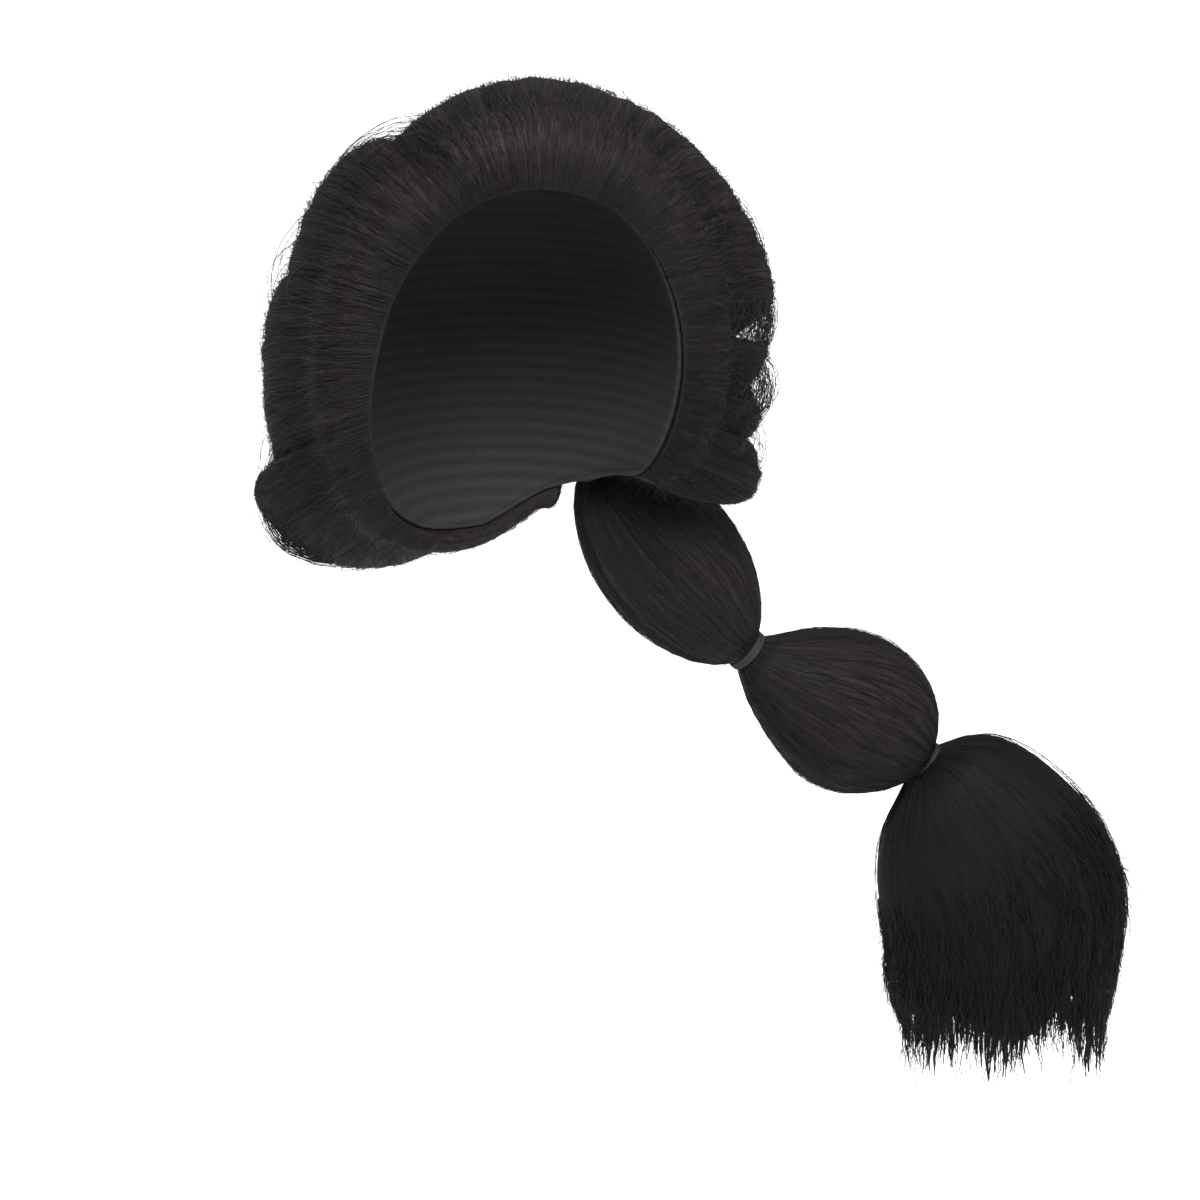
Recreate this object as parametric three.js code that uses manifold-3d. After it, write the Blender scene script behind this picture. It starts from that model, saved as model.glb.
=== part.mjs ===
// A long black wig: hair swept off the face in puffed rolls over a thin cap, gathered low behind
// the wearer's left ear, and hanging as a tail that bands tie off into two bubbles and a loose brush.
// Millimetres, +Z up. The face looks along -Y and the wearer's left is +X.
// The origin is the inside of the cap's crown, where the top of the head sits.

import * as THREE from 'three';
import { mergeVertices } from 'three/addons/utils/BufferGeometryUtils.js';
import Module from 'manifold-3d';

const wasm = await Module();
wasm.setup();

// Head and cap
const HEAD_HALF_WIDTH = 77;
const HEAD_HALF_DEPTH = 97;
const HEAD_HALF_HEIGHT = 102;
const CAP_WALL = 1.8;
const PIECE_GAP = 0.3;
const HAIR_SEAT = 0.55;
const CAP_STEPS_ROUND = 36;
const CAP_STEPS_DOWN = 11;

// The cap is drawn outwards from a point on the back of the crown. Its edge lies just inside the hairline,
// in degrees from that point. Round 0 is the forehead and + is the wearer's right.
const CROWN_POINT = new THREE.Vector3(0, 0.5, 0.866);
const CAP_EDGE = [
  { place: 'nape', round: -180, reach: 119 },
  { place: 'under_gather', round: -152, reach: 110 },
  { place: 'behind_left_ear', round: -126, reach: 113 },
  { place: 'under_left_ear', round: -103, reach: 119 },
  { place: 'left_cheek', round: -79, reach: 104 },
  { place: 'left_temple', round: -51, reach: 78.5 },
  { place: 'left_forehead', round: -28, reach: 64.5 },
  { place: 'forehead', round: 0, reach: 58.5 },
  { place: 'right_forehead', round: 34, reach: 62.5 },
  { place: 'right_temple', round: 54, reach: 73 },
  { place: 'right_cheek', round: 82, reach: 98.5 },
  { place: 'under_right_ear', round: 111, reach: 117 },
  { place: 'low_right', round: 142, reach: 122 },
  { place: 'nape', round: 180, reach: 119 },
];

// Every strand runs on a circle from the middle of the face, over the hairline, to the gather.
const FACE_CENTRE = new THREE.Vector3(0, -1, 0);
const GATHER = new THREE.Vector3(0.62, 0.61, -0.5).normalize();
const GATHER_RING = 11;
const ROLL_STEPS_ALONG = 20;

// The hairline, in degrees from the middle of the face. Turn 0 goes up, + is the wearer's left.
const HAIRLINE = [
  { turn: -160, reach: 117 },
  { turn: -140, reach: 120 },
  { turn: -124, reach: 107 },
  { turn: -112, reach: 92 },
  { turn: -105, reach: 84 },
  { turn: -80, reach: 73 },
  { turn: -45, reach: 64 },
  { turn: 0, reach: 57 },
  { turn: 45, reach: 63 },
  { turn: 80, reach: 72 },
  { turn: 118, reach: 84 },
];

// Puffed rolls from the nape round the wearer's right, over the top and down the left.
// Each starts at its groove, swells to its crest and ends at the next groove.
const ROLLS = [
  { name: 'nape_roll', from: -160, groove: 6, crestFrom: 14, crestTo: 16, steps: 6 },
  { name: 'right_lower_puff', from: -122, groove: 10, crestFrom: 28, crestTo: 77, steps: 9 },
  { name: 'right_middle_roll', from: -94, groove: 42, crestFrom: 43, crestTo: 39, steps: 8 },
  { name: 'right_upper_roll', from: -66, groove: 32, crestFrom: 35, crestTo: 33, steps: 7 },
  { name: 'front_roll', from: -39, groove: 22, crestFrom: 21, crestTo: 54, steps: 14 },
  { name: 'left_upper_roll', from: 31, groove: 50, crestFrom: 54, crestTo: 56, steps: 7 },
  { name: 'left_middle_roll', from: 56, groove: 48, crestFrom: 60, crestTo: 58, steps: 8 },
  { name: 'left_lower_roll', from: 84, groove: 50, crestFrom: 70, crestTo: 74, steps: 8 },
  { name: null, from: 118, groove: 12 },
];
const ROLL_ROUNDNESS = 0.55;

// The first wave stands along the whole hairline, with the parting as a dip in it. Its height goes by the turn,
// and so does the space between the waves, which are closest under the ears.
const WAVE = [
  { turn: -160, height: 6, space: 0.5 },
  { turn: -140, height: 8, space: 0.5 },
  { turn: -122, height: 10, space: 0.5 },
  { turn: -110, height: 17, space: 0.55 },
  { turn: -98, height: 20, space: 0.7 },
  { turn: -80, height: 21, space: 1.0 },
  { turn: -48, height: 22, space: 1.0 },
  { turn: -39, height: 14, space: 1.0 },
  { turn: -30, height: 22, space: 1.0 },
  { turn: 0, height: 25, space: 0.96 },
  { turn: 31, height: 25, space: 0.66 },
  { turn: 56, height: 24, space: 0.53 },
  { turn: 84, height: 22, space: 0.47 },
  { turn: 101, height: 19, space: 0.42 },
  { turn: 118, height: 9, space: 0.4 },
];

// Share of the first wave's height, and of the roll that stands behind it, by the distance from the hairline.
const RISE = [
  { along: 0, wave: 0.08, roll: 0 },
  { along: 3, wave: 0.36, roll: 0 },
  { along: 8, wave: 0.74, roll: 0 },
  { along: 14, wave: 0.96, roll: 0 },
  { along: 18, wave: 1.0, roll: 0.01 },
  { along: 25, wave: 0.92, roll: 0.06 },
  { along: 34, wave: 0.66, roll: 0.22 },
  { along: 46, wave: 0.3, roll: 0.55 },
  { along: 60, wave: 0.04, roll: 0.89 },
  { along: 72, wave: 0, roll: 1.0 },
  { along: 110, wave: 0, roll: 0.9 },
];

// Share of a roll's height by the share of its length still to go to the gather.
const FALL = [
  { left: 0, share: 0.28 },
  { left: 0.16, share: 0.52 },
  { left: 0.36, share: 0.86 },
  { left: 0.6, share: 1.0 },
];

// Tail, as places that its middle line passes through
const TAIL = [
  { place: 'nape_tie', x: 66, y: 70, z: -167 },
  { place: 'upper_bubble', x: 106, y: 68, z: -219 },
  { place: 'upper_tie', x: 147, y: 60, z: -270 },
  { place: 'lower_bubble', x: 200, y: 56, z: -304 },
  { place: 'lower_tie', x: 246, y: 52, z: -337 },
];
const TAIL_FLAT = new THREE.Vector3(0.31, 0.95, 0).normalize();
const TAIL_SIDES = 20;
const NECK_RADIUS = 9;
const ROOT_RADIUS = 15;

// Bubbles between the ties. Fullest is the share of the length at which the bubble is widest.
const BUBBLES = [
  { name: 'tail_upper_bubble', from: 'nape_tie', to: 'upper_tie', halfWide: 38, halfDeep: 36, fullest: 0.52 },
  { name: 'tail_lower_bubble', from: 'upper_tie', to: 'lower_tie', halfWide: 43, halfDeep: 36, fullest: 0.58 },
];
const BUBBLE_SECTIONS = 12;
const BUBBLE_LOCKS = 7;
const BUBBLE_LOCK_DEPTH = 0.04;

// Bands round the tail
const TIE_WIDTH = 5;
const TIE_WALL = 2.4;
const TIE_SIDES = 18;
const NECK_REACH = TIE_WIDTH / 2 + PIECE_GAP;

// Loose brush below the last band, by the distance down from it
const BRUSH_DROP = { x: 47, y: -2, z: -155 };
const BRUSH_START_SLANT = 46;
const BRUSH = [
  { down: 0.04, halfWide: 27, halfDeep: 21, aside: 3 },
  { down: 0.1, halfWide: 43, halfDeep: 31, aside: 5 },
  { down: 0.22, halfWide: 57, halfDeep: 37, aside: 11 },
  { down: 0.4, halfWide: 67, halfDeep: 40, aside: 19 },
  { down: 0.6, halfWide: 69, halfDeep: 40, aside: 20 },
  { down: 0.8, halfWide: 65, halfDeep: 37, aside: 12 },
  { down: 1.0, halfWide: 57, halfDeep: 30, aside: 4 },
];
const BRUSH_LOCKS = [
  { side: -0.94, length: 32, radius: 10 },
  { side: -0.62, length: 22, radius: 12 },
  { side: -0.3, length: 20, radius: 12 },
  { side: 0.02, length: 36, radius: 13 },
  { side: 0.32, length: 24, radius: 12 },
  { side: 0.62, length: 32, radius: 12 },
  { side: 0.9, length: 24, radius: 10 },
];
const LOCK_ROWS = [-0.55, 0, 0.55];
const LOCK_SIDES = 6;

const HAIR = { color: 0x1d1a1a, roughness: 0.55, metalness: 0 };
const CAP_CLOTH = { color: 0x232021, roughness: 0.9, metalness: 0 };
const BAND = { color: 0x2b2b2d, roughness: 0.7, metalness: 0 };

const toRadians = THREE.MathUtils.degToRad;
const lerp = THREE.MathUtils.lerp;
const headCentre = new THREE.Vector3(0, 0, -HEAD_HALF_HEIGHT);
const headSize = new THREE.Vector3(HEAD_HALF_WIDTH, HEAD_HALF_DEPTH, HEAD_HALF_HEIGHT);
const headMean = (HEAD_HALF_WIDTH + HEAD_HALF_DEPTH + HEAD_HALF_HEIGHT) / 3;

// Reads a table at x with a smooth curve through its rows.
function readTable(rows, key, value, x) {
  const last = rows.length - 1;
  if (x <= rows[0][key]) return rows[0][value];
  if (x >= rows[last][key]) return rows[last][value];
  let i = 0;
  while (x > rows[i + 1][key]) i += 1;
  const slope = (k) => {
    const a = rows[Math.max(k - 1, 0)];
    const b = rows[Math.min(k + 1, last)];
    return (b[value] - a[value]) / (b[key] - a[key]);
  };
  const span = rows[i + 1][key] - rows[i][key];
  const s = (x - rows[i][key]) / span;
  const s2 = s * s;
  const s3 = s2 * s;
  return (2 * s3 - 3 * s2 + 1) * rows[i][value]
    + (s3 - 2 * s2 + s) * span * slope(i)
    + (3 * s2 - 2 * s3) * rows[i + 1][value]
    + (s3 - s2) * span * slope(i + 1);
}

// The outward direction of the head, and a point over it. Places are unit vectors in the head's proportions.
function headNormal(place) {
  return place.clone().divide(headSize).normalize();
}

function overHead(place, lift) {
  return place.clone().multiply(headSize).add(headCentre).addScaledVector(headNormal(place), lift);
}

// A closed mesh from points and triangles.
function meshOf(points, triangles) {
  const geometry = new THREE.BufferGeometry().setFromPoints(points);
  geometry.setIndex(triangles);
  geometry.computeVertexNormals();
  return geometry;
}

// Closes two grids of the same size, an outer and an inner one, into a thick wall.
function thickWall(outer, inner) {
  const rows = outer.length;
  const columns = outer[0].length;
  const points = [...outer.flat(), ...inner.flat()];
  const top = (i, j) => i * columns + j;
  const under = (i, j) => rows * columns + i * columns + j;
  const triangles = [];
  const quad = (a, b, c, d) => triangles.push(a, c, b, a, d, c);
  for (let i = 0; i + 1 < rows; i += 1) {
    for (let j = 0; j + 1 < columns; j += 1) {
      quad(top(i, j), top(i, j + 1), top(i + 1, j + 1), top(i + 1, j));
      quad(under(i, j), under(i + 1, j), under(i + 1, j + 1), under(i, j + 1));
    }
    quad(top(i, 0), top(i + 1, 0), under(i + 1, 0), under(i, 0));
    quad(top(i, columns - 1), under(i, columns - 1), under(i + 1, columns - 1), top(i + 1, columns - 1));
  }
  for (let j = 0; j + 1 < columns; j += 1) {
    quad(top(0, j), under(0, j), under(0, j + 1), top(0, j + 1));
    quad(top(rows - 1, j), top(rows - 1, j + 1), under(rows - 1, j + 1), under(rows - 1, j));
  }
  return meshOf(points, triangles);
}

// The cap: a thin wall over the head, open for the face and the neck.
function capGeometry() {
  const front = new THREE.Vector3(0, -1, 0).projectOnPlane(CROWN_POINT).normalize();
  const side = CROWN_POINT.clone().cross(front).negate();
  const points = [];
  const triangles = [];
  for (const lift of [CAP_WALL, 0]) {
    points.push(overHead(CROWN_POINT, lift));
    for (let i = 1; i <= CAP_STEPS_DOWN; i += 1) {
      for (let k = 0; k < CAP_STEPS_ROUND; k += 1) {
        const round = (360 * k) / CAP_STEPS_ROUND - 180;
        const reach = toRadians(readTable(CAP_EDGE, 'round', 'reach', round)) * (i / CAP_STEPS_DOWN);
        const outward = front.clone().multiplyScalar(Math.cos(toRadians(round)))
          .addScaledVector(side, Math.sin(toRadians(round)));
        const direction = CROWN_POINT.clone().multiplyScalar(Math.cos(reach))
          .addScaledVector(outward, Math.sin(reach));
        points.push(overHead(direction, lift));
      }
    }
  }
  const layer = 1 + CAP_STEPS_DOWN * CAP_STEPS_ROUND;
  const at = (i, k) => 1 + (i - 1) * CAP_STEPS_ROUND + (k % CAP_STEPS_ROUND);
  for (let k = 0; k < CAP_STEPS_ROUND; k += 1) {
    triangles.push(0, at(1, k + 1), at(1, k));
    triangles.push(layer, layer + at(1, k), layer + at(1, k + 1));
    for (let i = 1; i < CAP_STEPS_DOWN; i += 1) {
      const [a, b, c, d] = [at(i, k), at(i, k + 1), at(i + 1, k + 1), at(i + 1, k)];
      triangles.push(a, b, c, a, c, d);
      triangles.push(layer + a, layer + c, layer + b, layer + a, layer + d, layer + c);
    }
    const [edge, next] = [at(CAP_STEPS_DOWN, k), at(CAP_STEPS_DOWN, k + 1)];
    triangles.push(edge, next, layer + next, edge, layer + next, layer + edge);
  }
  return meshOf(points, triangles);
}

// The axes of the strand circles: along the chord from the face to the gather, up, and to the left.
const chord = GATHER.clone().sub(FACE_CENTRE);
const halfChord = chord.length() / 2;
const alongChord = chord.clone().normalize();
const chordMiddle = FACE_CENTRE.clone().add(GATHER).multiplyScalar(0.5);
const upTurn = new THREE.Vector3(0, 0, 1).projectOnPlane(alongChord).normalize();
const leftTurn = alongChord.clone().cross(upTurn);

// The circle of one turn, from the hairline to the ring round the gather.
function strandCircle(turn) {
  const outward = upTurn.clone().multiplyScalar(Math.cos(toRadians(turn)))
    .addScaledVector(leftTurn, Math.sin(toRadians(turn)));
  const rise = chordMiddle.dot(outward);
  const radius = Math.hypot(halfChord, rise);
  const hub = chordMiddle.clone().addScaledVector(outward, -rise);
  const arcOf = (degrees) => 2 * Math.asin(Math.sin(toRadians(degrees) / 2) / radius);
  const end = Math.atan2(rise, halfChord);
  const from = end + arcOf(readTable(HAIRLINE, 'turn', 'reach', turn));
  const to = Math.PI - end - arcOf(GATHER_RING);
  const length = (to - from) * radius * headMean;
  const direction = (share) => {
    const angle = lerp(from, to, share);
    return hub.clone().addScaledVector(alongChord, -radius * Math.cos(angle))
      .addScaledVector(outward, radius * Math.sin(angle));
  };
  const reachOut = (share) => (radius * Math.sin(lerp(from, to, share)) - rise) * headMean;
  return { length, direction, reachOut };
}

// How high the hair stands at a share of a roll's width and of its length: the first wave, then the roll.
function hairHeight(roll, next, across, share, length) {
  const turn = lerp(roll.from, next.from, across);
  const along = (share * length) / readTable(WAVE, 'turn', 'space', turn);
  const groove = lerp(roll.groove, next.groove, across);
  const bulge = (1 - (2 * across - 1) ** 2) ** ROLL_ROUNDNESS;
  const crest = lerp(groove, lerp(roll.crestFrom, roll.crestTo, across), bulge);
  const wave = readTable(WAVE, 'turn', 'height', turn) * readTable(RISE, 'along', 'wave', along);
  const fall = readTable(FALL, 'left', 'share', 1 - share);
  return wave + crest * readTable(RISE, 'along', 'roll', along) * fall;
}

// One roll: the hair between two grooves, from the hairline to the gather, open over the cap.
function rollGeometry(roll, next) {
  const under = CAP_WALL + HAIR_SEAT;
  const outer = [];
  const inner = [];
  for (let i = 0; i <= roll.steps; i += 1) {
    const across = i / roll.steps;
    const turn = lerp(roll.from, next.from, across);
    const clear = (1 - 2 * across) * (PIECE_GAP / 2) * (i === 0 || i === roll.steps ? 1 : 0);
    outer.push([]);
    inner.push([]);
    for (let j = 0; j <= ROLL_STEPS_ALONG; j += 1) {
      const share = (j / ROLL_STEPS_ALONG) ** 1.3;
      const shift = THREE.MathUtils.radToDeg(clear / strandCircle(turn).reachOut(share));
      const circle = strandCircle(turn + shift);
      const direction = circle.direction(share);
      outer[i].push(overHead(direction, under + hairHeight(roll, next, across, share, circle.length)));
      inner[i].push(overHead(direction, under));
    }
  }
  return thickWall(outer, inner);
}

// Closes a row of rings, each with the same number of points, into a solid.
function loft(rings) {
  const sides = rings[0].length;
  const points = rings.flat();
  const triangles = [];
  for (let i = 0; i + 1 < rings.length; i += 1) {
    for (let k = 0; k < sides; k += 1) {
      const a = i * sides + k;
      const b = i * sides + ((k + 1) % sides);
      triangles.push(a, b + sides, b, a, a + sides, b + sides);
    }
  }
  for (const [ring, flip] of [[0, true], [rings.length - 1, false]]) {
    const middle = points.length;
    const centre = rings[ring].reduce((sum, p) => sum.add(p), new THREE.Vector3()).divideScalar(sides);
    points.push(centre);
    for (let k = 0; k < sides; k += 1) {
      const a = ring * sides + k;
      const b = ring * sides + ((k + 1) % sides);
      triangles.push(middle, flip ? a : b, flip ? b : a);
    }
  }
  return meshOf(points, triangles);
}

// A ring across the tail. Wide lies in the plane of the tail's fall, deep across it.
function tailRing(centre, direction, halfWide, halfDeep, sides, locks = 0, lockDepth = 0) {
  const deep = TAIL_FLAT.clone().projectOnPlane(direction).normalize();
  const wide = deep.clone().cross(direction).normalize();
  const ring = [];
  for (let k = 0; k < sides; k += 1) {
    const angle = (2 * Math.PI * k) / sides;
    const swell = 1 + lockDepth * Math.cos(locks * angle);
    ring.push(centre.clone().addScaledVector(wide, halfWide * swell * Math.cos(angle))
      .addScaledVector(deep, -halfDeep * swell * Math.sin(angle)));
  }
  return ring;
}

const rootPoint = overHead(GATHER, CAP_WALL + 2 * PIECE_GAP);
const tailPlaces = TAIL.map((row) => new THREE.Vector3(row.x, row.y, row.z));
const tailLine = new THREE.CatmullRomCurve3([rootPoint, ...tailPlaces]);
const tailShare = (place) => (1 + TAIL.findIndex((row) => row.place === place)) / TAIL.length;

// Fullness of a bubble from one tie to the next: 0 in the ties, 1 at its widest.
function bubbleFullness(share, fullest) {
  const bent = share ** (Math.log(0.5) / Math.log(fullest));
  return Math.sin(Math.PI * bent) ** 0.62;
}

// The neck inside a band, at a distance before or after the band's middle.
function neckRing(place, away) {
  const share = tailShare(place);
  const direction = tailLine.getTangent(share);
  const centre = tailLine.getPoint(share).addScaledVector(direction, away);
  return tailRing(centre, direction, NECK_RADIUS, NECK_RADIUS, TAIL_SIDES);
}

// One bubble of the tail, with the short necks that pass half way through its bands.
function bubbleGeometry(bubble) {
  const from = tailShare(bubble.from);
  const to = tailShare(bubble.to);
  const neckShare = NECK_REACH / tailLine.getPoint(from).distanceTo(tailLine.getPoint(to)) * (to - from);
  const rings = [];
  if (bubble.from === TAIL[0].place) {
    rings.push(tailRing(rootPoint, headNormal(GATHER), ROOT_RADIUS, ROOT_RADIUS, TAIL_SIDES));
    rings.push(neckRing(bubble.from, -NECK_REACH));
  } else {
    rings.push(neckRing(bubble.from, PIECE_GAP / 2));
  }
  rings.push(neckRing(bubble.from, NECK_REACH));
  for (let i = 1; i < BUBBLE_SECTIONS; i += 1) {
    const share = i / BUBBLE_SECTIONS;
    const full = bubbleFullness(share, bubble.fullest);
    const place = lerp(from + neckShare, to - neckShare, share);
    rings.push(tailRing(tailLine.getPoint(place), tailLine.getTangent(place),
      lerp(NECK_RADIUS, bubble.halfWide, full), lerp(NECK_RADIUS, bubble.halfDeep, full),
      TAIL_SIDES, BUBBLE_LOCKS, BUBBLE_LOCK_DEPTH * full));
  }
  rings.push(neckRing(bubble.to, -NECK_REACH));
  rings.push(neckRing(bubble.to, -PIECE_GAP / 2));
  return loft(rings);
}

// A band round the tail: a ring of flattened section.
function tieGeometry(place) {
  const inside = NECK_RADIUS + PIECE_GAP;
  const section = [
    [inside, -TIE_WIDTH / 2], [inside + TIE_WALL * 0.7, -TIE_WIDTH / 2], [inside + TIE_WALL, -TIE_WIDTH / 5],
    [inside + TIE_WALL, TIE_WIDTH / 5], [inside + TIE_WALL * 0.7, TIE_WIDTH / 2], [inside, TIE_WIDTH / 2],
    [inside, -TIE_WIDTH / 2],
  ].map(([radius, height]) => new THREE.Vector2(radius, height));
  const geometry = new THREE.LatheGeometry(section, TIE_SIDES);
  const share = tailShare(place);
  const turn = new THREE.Quaternion().setFromUnitVectors(new THREE.Vector3(0, 1, 0), tailLine.getTangent(share));
  geometry.applyQuaternion(turn);
  const centre = tailLine.getPoint(share);
  return geometry.translate(centre.x, centre.y, centre.z);
}

// A solid for joining, from a closed geometry.
function solidOf(geometry) {
  const bare = geometry.clone();
  bare.deleteAttribute('normal');
  bare.deleteAttribute('uv');
  const merged = mergeVertices(bare, 1e-3);
  return new wasm.Manifold(new wasm.Mesh({
    numProp: 3,
    vertProperties: merged.attributes.position.array,
    triVerts: new Uint32Array(merged.index.array),
  }));
}

function geometryOf(solid) {
  const mesh = solid.getMesh();
  const geometry = new THREE.BufferGeometry();
  geometry.setAttribute('position', new THREE.BufferAttribute(new Float32Array(mesh.vertProperties), 3));
  geometry.setIndex(new THREE.BufferAttribute(new Uint32Array(mesh.triVerts), 1));
  geometry.computeVertexNormals();
  return geometry;
}

// The brush: a full head of hair below the last band, with loose locks fused to its end.
function brushGeometry() {
  const start = tailPlaces[tailPlaces.length - 1];
  const drop = new THREE.Vector3(BRUSH_DROP.x, BRUSH_DROP.y, BRUSH_DROP.z);
  const side = TAIL_FLAT.clone().cross(new THREE.Vector3(0, 0, 1)).normalize();
  const directionAt = (down) => {
    const slant = toRadians(BRUSH_START_SLANT) * (1 - down);
    return new THREE.Vector3(0, 0, -Math.cos(slant)).addScaledVector(side, Math.sin(slant));
  };
  const centreAt = (down) => {
    const aside = readTable(BRUSH, 'down', 'aside', down);
    return start.clone().addScaledVector(drop, down).addScaledVector(side, aside);
  };
  const neck = [neckRing('lower_tie', PIECE_GAP / 2), neckRing('lower_tie', NECK_REACH)];
  const body = BRUSH.map((row) => tailRing(centreAt(row.down), directionAt(row.down),
    row.halfWide, row.halfDeep, TAIL_SIDES, BUBBLE_LOCKS, BUBBLE_LOCK_DEPTH));
  const rings = [...neck, ...body];
  let solid = solidOf(loft(rings));
  const end = BRUSH[BRUSH.length - 1];
  const endCentre = centreAt(1);
  const down = directionAt(1);
  for (const lock of BRUSH_LOCKS) {
    for (const row of LOCK_ROWS) {
      const inset = Math.sqrt(1 - Math.min(1, lock.side ** 2 + row ** 2) * 0.9);
      const root = endCentre.clone().addScaledVector(side, lock.side * end.halfWide * 0.86)
        .addScaledVector(TAIL_FLAT, row * end.halfDeep * (0.5 + 0.5 * inset));
      const length = lock.length * (1 - 0.3 * Math.abs(row));
      const lockRings = [-14, 0, 0.5, 1].map((step) => {
        const reach = step < 0 ? step : step * length;
        const radius = step <= 0 ? lock.radius : lerp(lock.radius, 1.2, step);
        const centre = root.clone().addScaledVector(down, reach).addScaledVector(side, reach * 0.06 * lock.side);
        return tailRing(centre, down, radius, radius * 0.8, LOCK_SIDES);
      });
      solid = solid.add(solidOf(loft(lockRings)));
    }
  }
  return geometryOf(solid);
}

// Assembly
const wig = new THREE.Group();

function addPiece(name, geometry, finish) {
  const mesh = new THREE.Mesh(geometry, new THREE.MeshStandardMaterial(finish));
  mesh.name = name;
  wig.add(mesh);
}

addPiece('cap', capGeometry(), CAP_CLOTH);
for (let i = 0; i + 1 < ROLLS.length; i += 1) {
  addPiece(ROLLS[i].name, rollGeometry(ROLLS[i], ROLLS[i + 1]), HAIR);
}
for (const bubble of BUBBLES) addPiece(bubble.name, bubbleGeometry(bubble), HAIR);
for (const place of ['nape_tie', 'upper_tie', 'lower_tie']) addPiece(place, tieGeometry(place), BAND);
addPiece('tail_brush', brushGeometry(), HAIR);

export default wig;
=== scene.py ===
import math

import bpy
import numpy as np
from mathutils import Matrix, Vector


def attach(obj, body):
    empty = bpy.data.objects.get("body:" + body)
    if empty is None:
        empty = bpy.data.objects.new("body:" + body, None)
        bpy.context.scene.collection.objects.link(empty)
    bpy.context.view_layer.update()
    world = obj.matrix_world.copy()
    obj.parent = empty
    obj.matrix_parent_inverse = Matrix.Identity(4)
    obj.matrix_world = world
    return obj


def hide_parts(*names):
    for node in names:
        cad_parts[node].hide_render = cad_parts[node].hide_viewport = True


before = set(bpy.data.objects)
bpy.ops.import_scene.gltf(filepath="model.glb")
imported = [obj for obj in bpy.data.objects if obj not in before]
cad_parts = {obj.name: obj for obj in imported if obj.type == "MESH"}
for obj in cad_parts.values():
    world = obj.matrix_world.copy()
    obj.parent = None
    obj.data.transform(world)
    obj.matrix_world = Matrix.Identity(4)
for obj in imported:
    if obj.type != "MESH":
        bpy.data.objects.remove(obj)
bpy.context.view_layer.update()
print("frame loaded:", len(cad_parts), "nodes")

# sizes in metres, turns in degrees; the wearer faces -Y and the tail hangs on +X
head = {
    "halfWidth": 0.077, "halfDepth": 0.097, "halfHeight": 0.102,
    "capWall": 0.0018, "hairSeat": 0.00055,
}
headSize = np.array([head["halfWidth"], head["halfDepth"], head["halfHeight"]])
headCentre = np.array([0.0, 0.0, -head["halfHeight"]])
headMean = headSize.mean()
hairFloor = head["capWall"] + head["hairSeat"]


def unit(v):
    v = np.asarray(v, float)
    return v / np.maximum(np.linalg.norm(v, axis=-1, keepdims=True), 1e-12)


def mix(a, b, share):
    return a + (b - a) * share


# smooth curve through the rows of a table
def readTable(rows, x, column=1):
    keys = np.array([r[0] for r in rows], float)
    values = np.array([r[column] for r in rows], float)
    slopes = np.gradient(values)
    slopes[1:-1] = (values[2:] - values[:-2]) / (keys[2:] - keys[:-2])
    slopes[0] = (values[1] - values[0]) / (keys[1] - keys[0])
    slopes[-1] = (values[-1] - values[-2]) / (keys[-1] - keys[-2])
    x = np.clip(x, keys[0], keys[-1])
    i = np.clip(np.searchsorted(keys, x, side="right") - 1, 0, len(keys) - 2)
    span = keys[i + 1] - keys[i]
    s = (x - keys[i]) / span
    return ((2 * s**3 - 3 * s**2 + 1) * values[i] + (s**3 - 2 * s**2 + s) * span * slopes[i]
            + (3 * s**2 - 2 * s**3) * values[i + 1] + (s**3 - s**2) * span * slopes[i + 1])


def headNormal(place):
    return unit(place / headSize)


def overHead(place, lift):
    return place * headSize + headCentre + headNormal(place) * np.asarray(lift)[..., None]


# every strand of the rolls lies on a circle from the middle of the face to the gather
sweep = {
    "gather": (0.62, 0.61, -0.5),
    "gatherRing": 11,
    "hairline": (
        (-160, 117), (-140, 120), (-124, 107), (-112, 92), (-105, 84), (-80, 73),
        (-45, 64), (0, 57), (45, 63), (80, 72), (118, 84),
    ),
    # turn, height of the first wave, and space between the waves
    "wave": (
        (-160, 0.006, 0.5), (-140, 0.008, 0.5), (-122, 0.010, 0.5), (-110, 0.017, 0.55),
        (-98, 0.020, 0.7), (-80, 0.021, 1.0), (-48, 0.022, 1.0), (-39, 0.014, 1.0),
        (-30, 0.022, 1.0), (0, 0.025, 0.96), (31, 0.025, 0.66), (56, 0.024, 0.53),
        (84, 0.022, 0.47), (101, 0.019, 0.42), (118, 0.009, 0.4),
    ),
    # distance from the hairline, share of the first wave, and share of the roll behind it
    "rise": (
        (0, 0.08, 0), (0.003, 0.36, 0), (0.008, 0.74, 0), (0.014, 0.96, 0), (0.018, 1.0, 0.01),
        (0.025, 0.92, 0.06), (0.034, 0.66, 0.22), (0.046, 0.3, 0.55), (0.060, 0.04, 0.89),
        (0.072, 0, 1.0), (0.110, 0, 0.9),
    ),
    "fall": ((0, 0.28), (0.16, 0.52), (0.36, 0.86), (0.6, 1.0)),
    # distance from the hairline, and how much of the hair's colour is left there: painted shade where the
    # hair turns under at the hairline and in the groove between the waves
    "lit": (
        (0, 0.6), (0.018, 1.0), (0.026, 1.0), (0.034, 0.7), (0.042, 0.7), (0.056, 1.0), (0.110, 1.0),
    ),
    "roundness": 0.55, "smoothEdge": 0.012, "smoothest": 0.1, "leastHeight": 0.08,
}
faceCentre = np.array([0.0, -1.0, 0.0])
gather = unit(sweep["gather"])
alongChord = unit(gather - faceCentre)
halfChord = np.linalg.norm(gather - faceCentre) / 2
chordMiddle = (gather + faceCentre) / 2
upTurn = unit(np.array([0, 0, 1.0]) - alongChord * alongChord[2])
leftTurn = np.cross(alongChord, upTurn)


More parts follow.
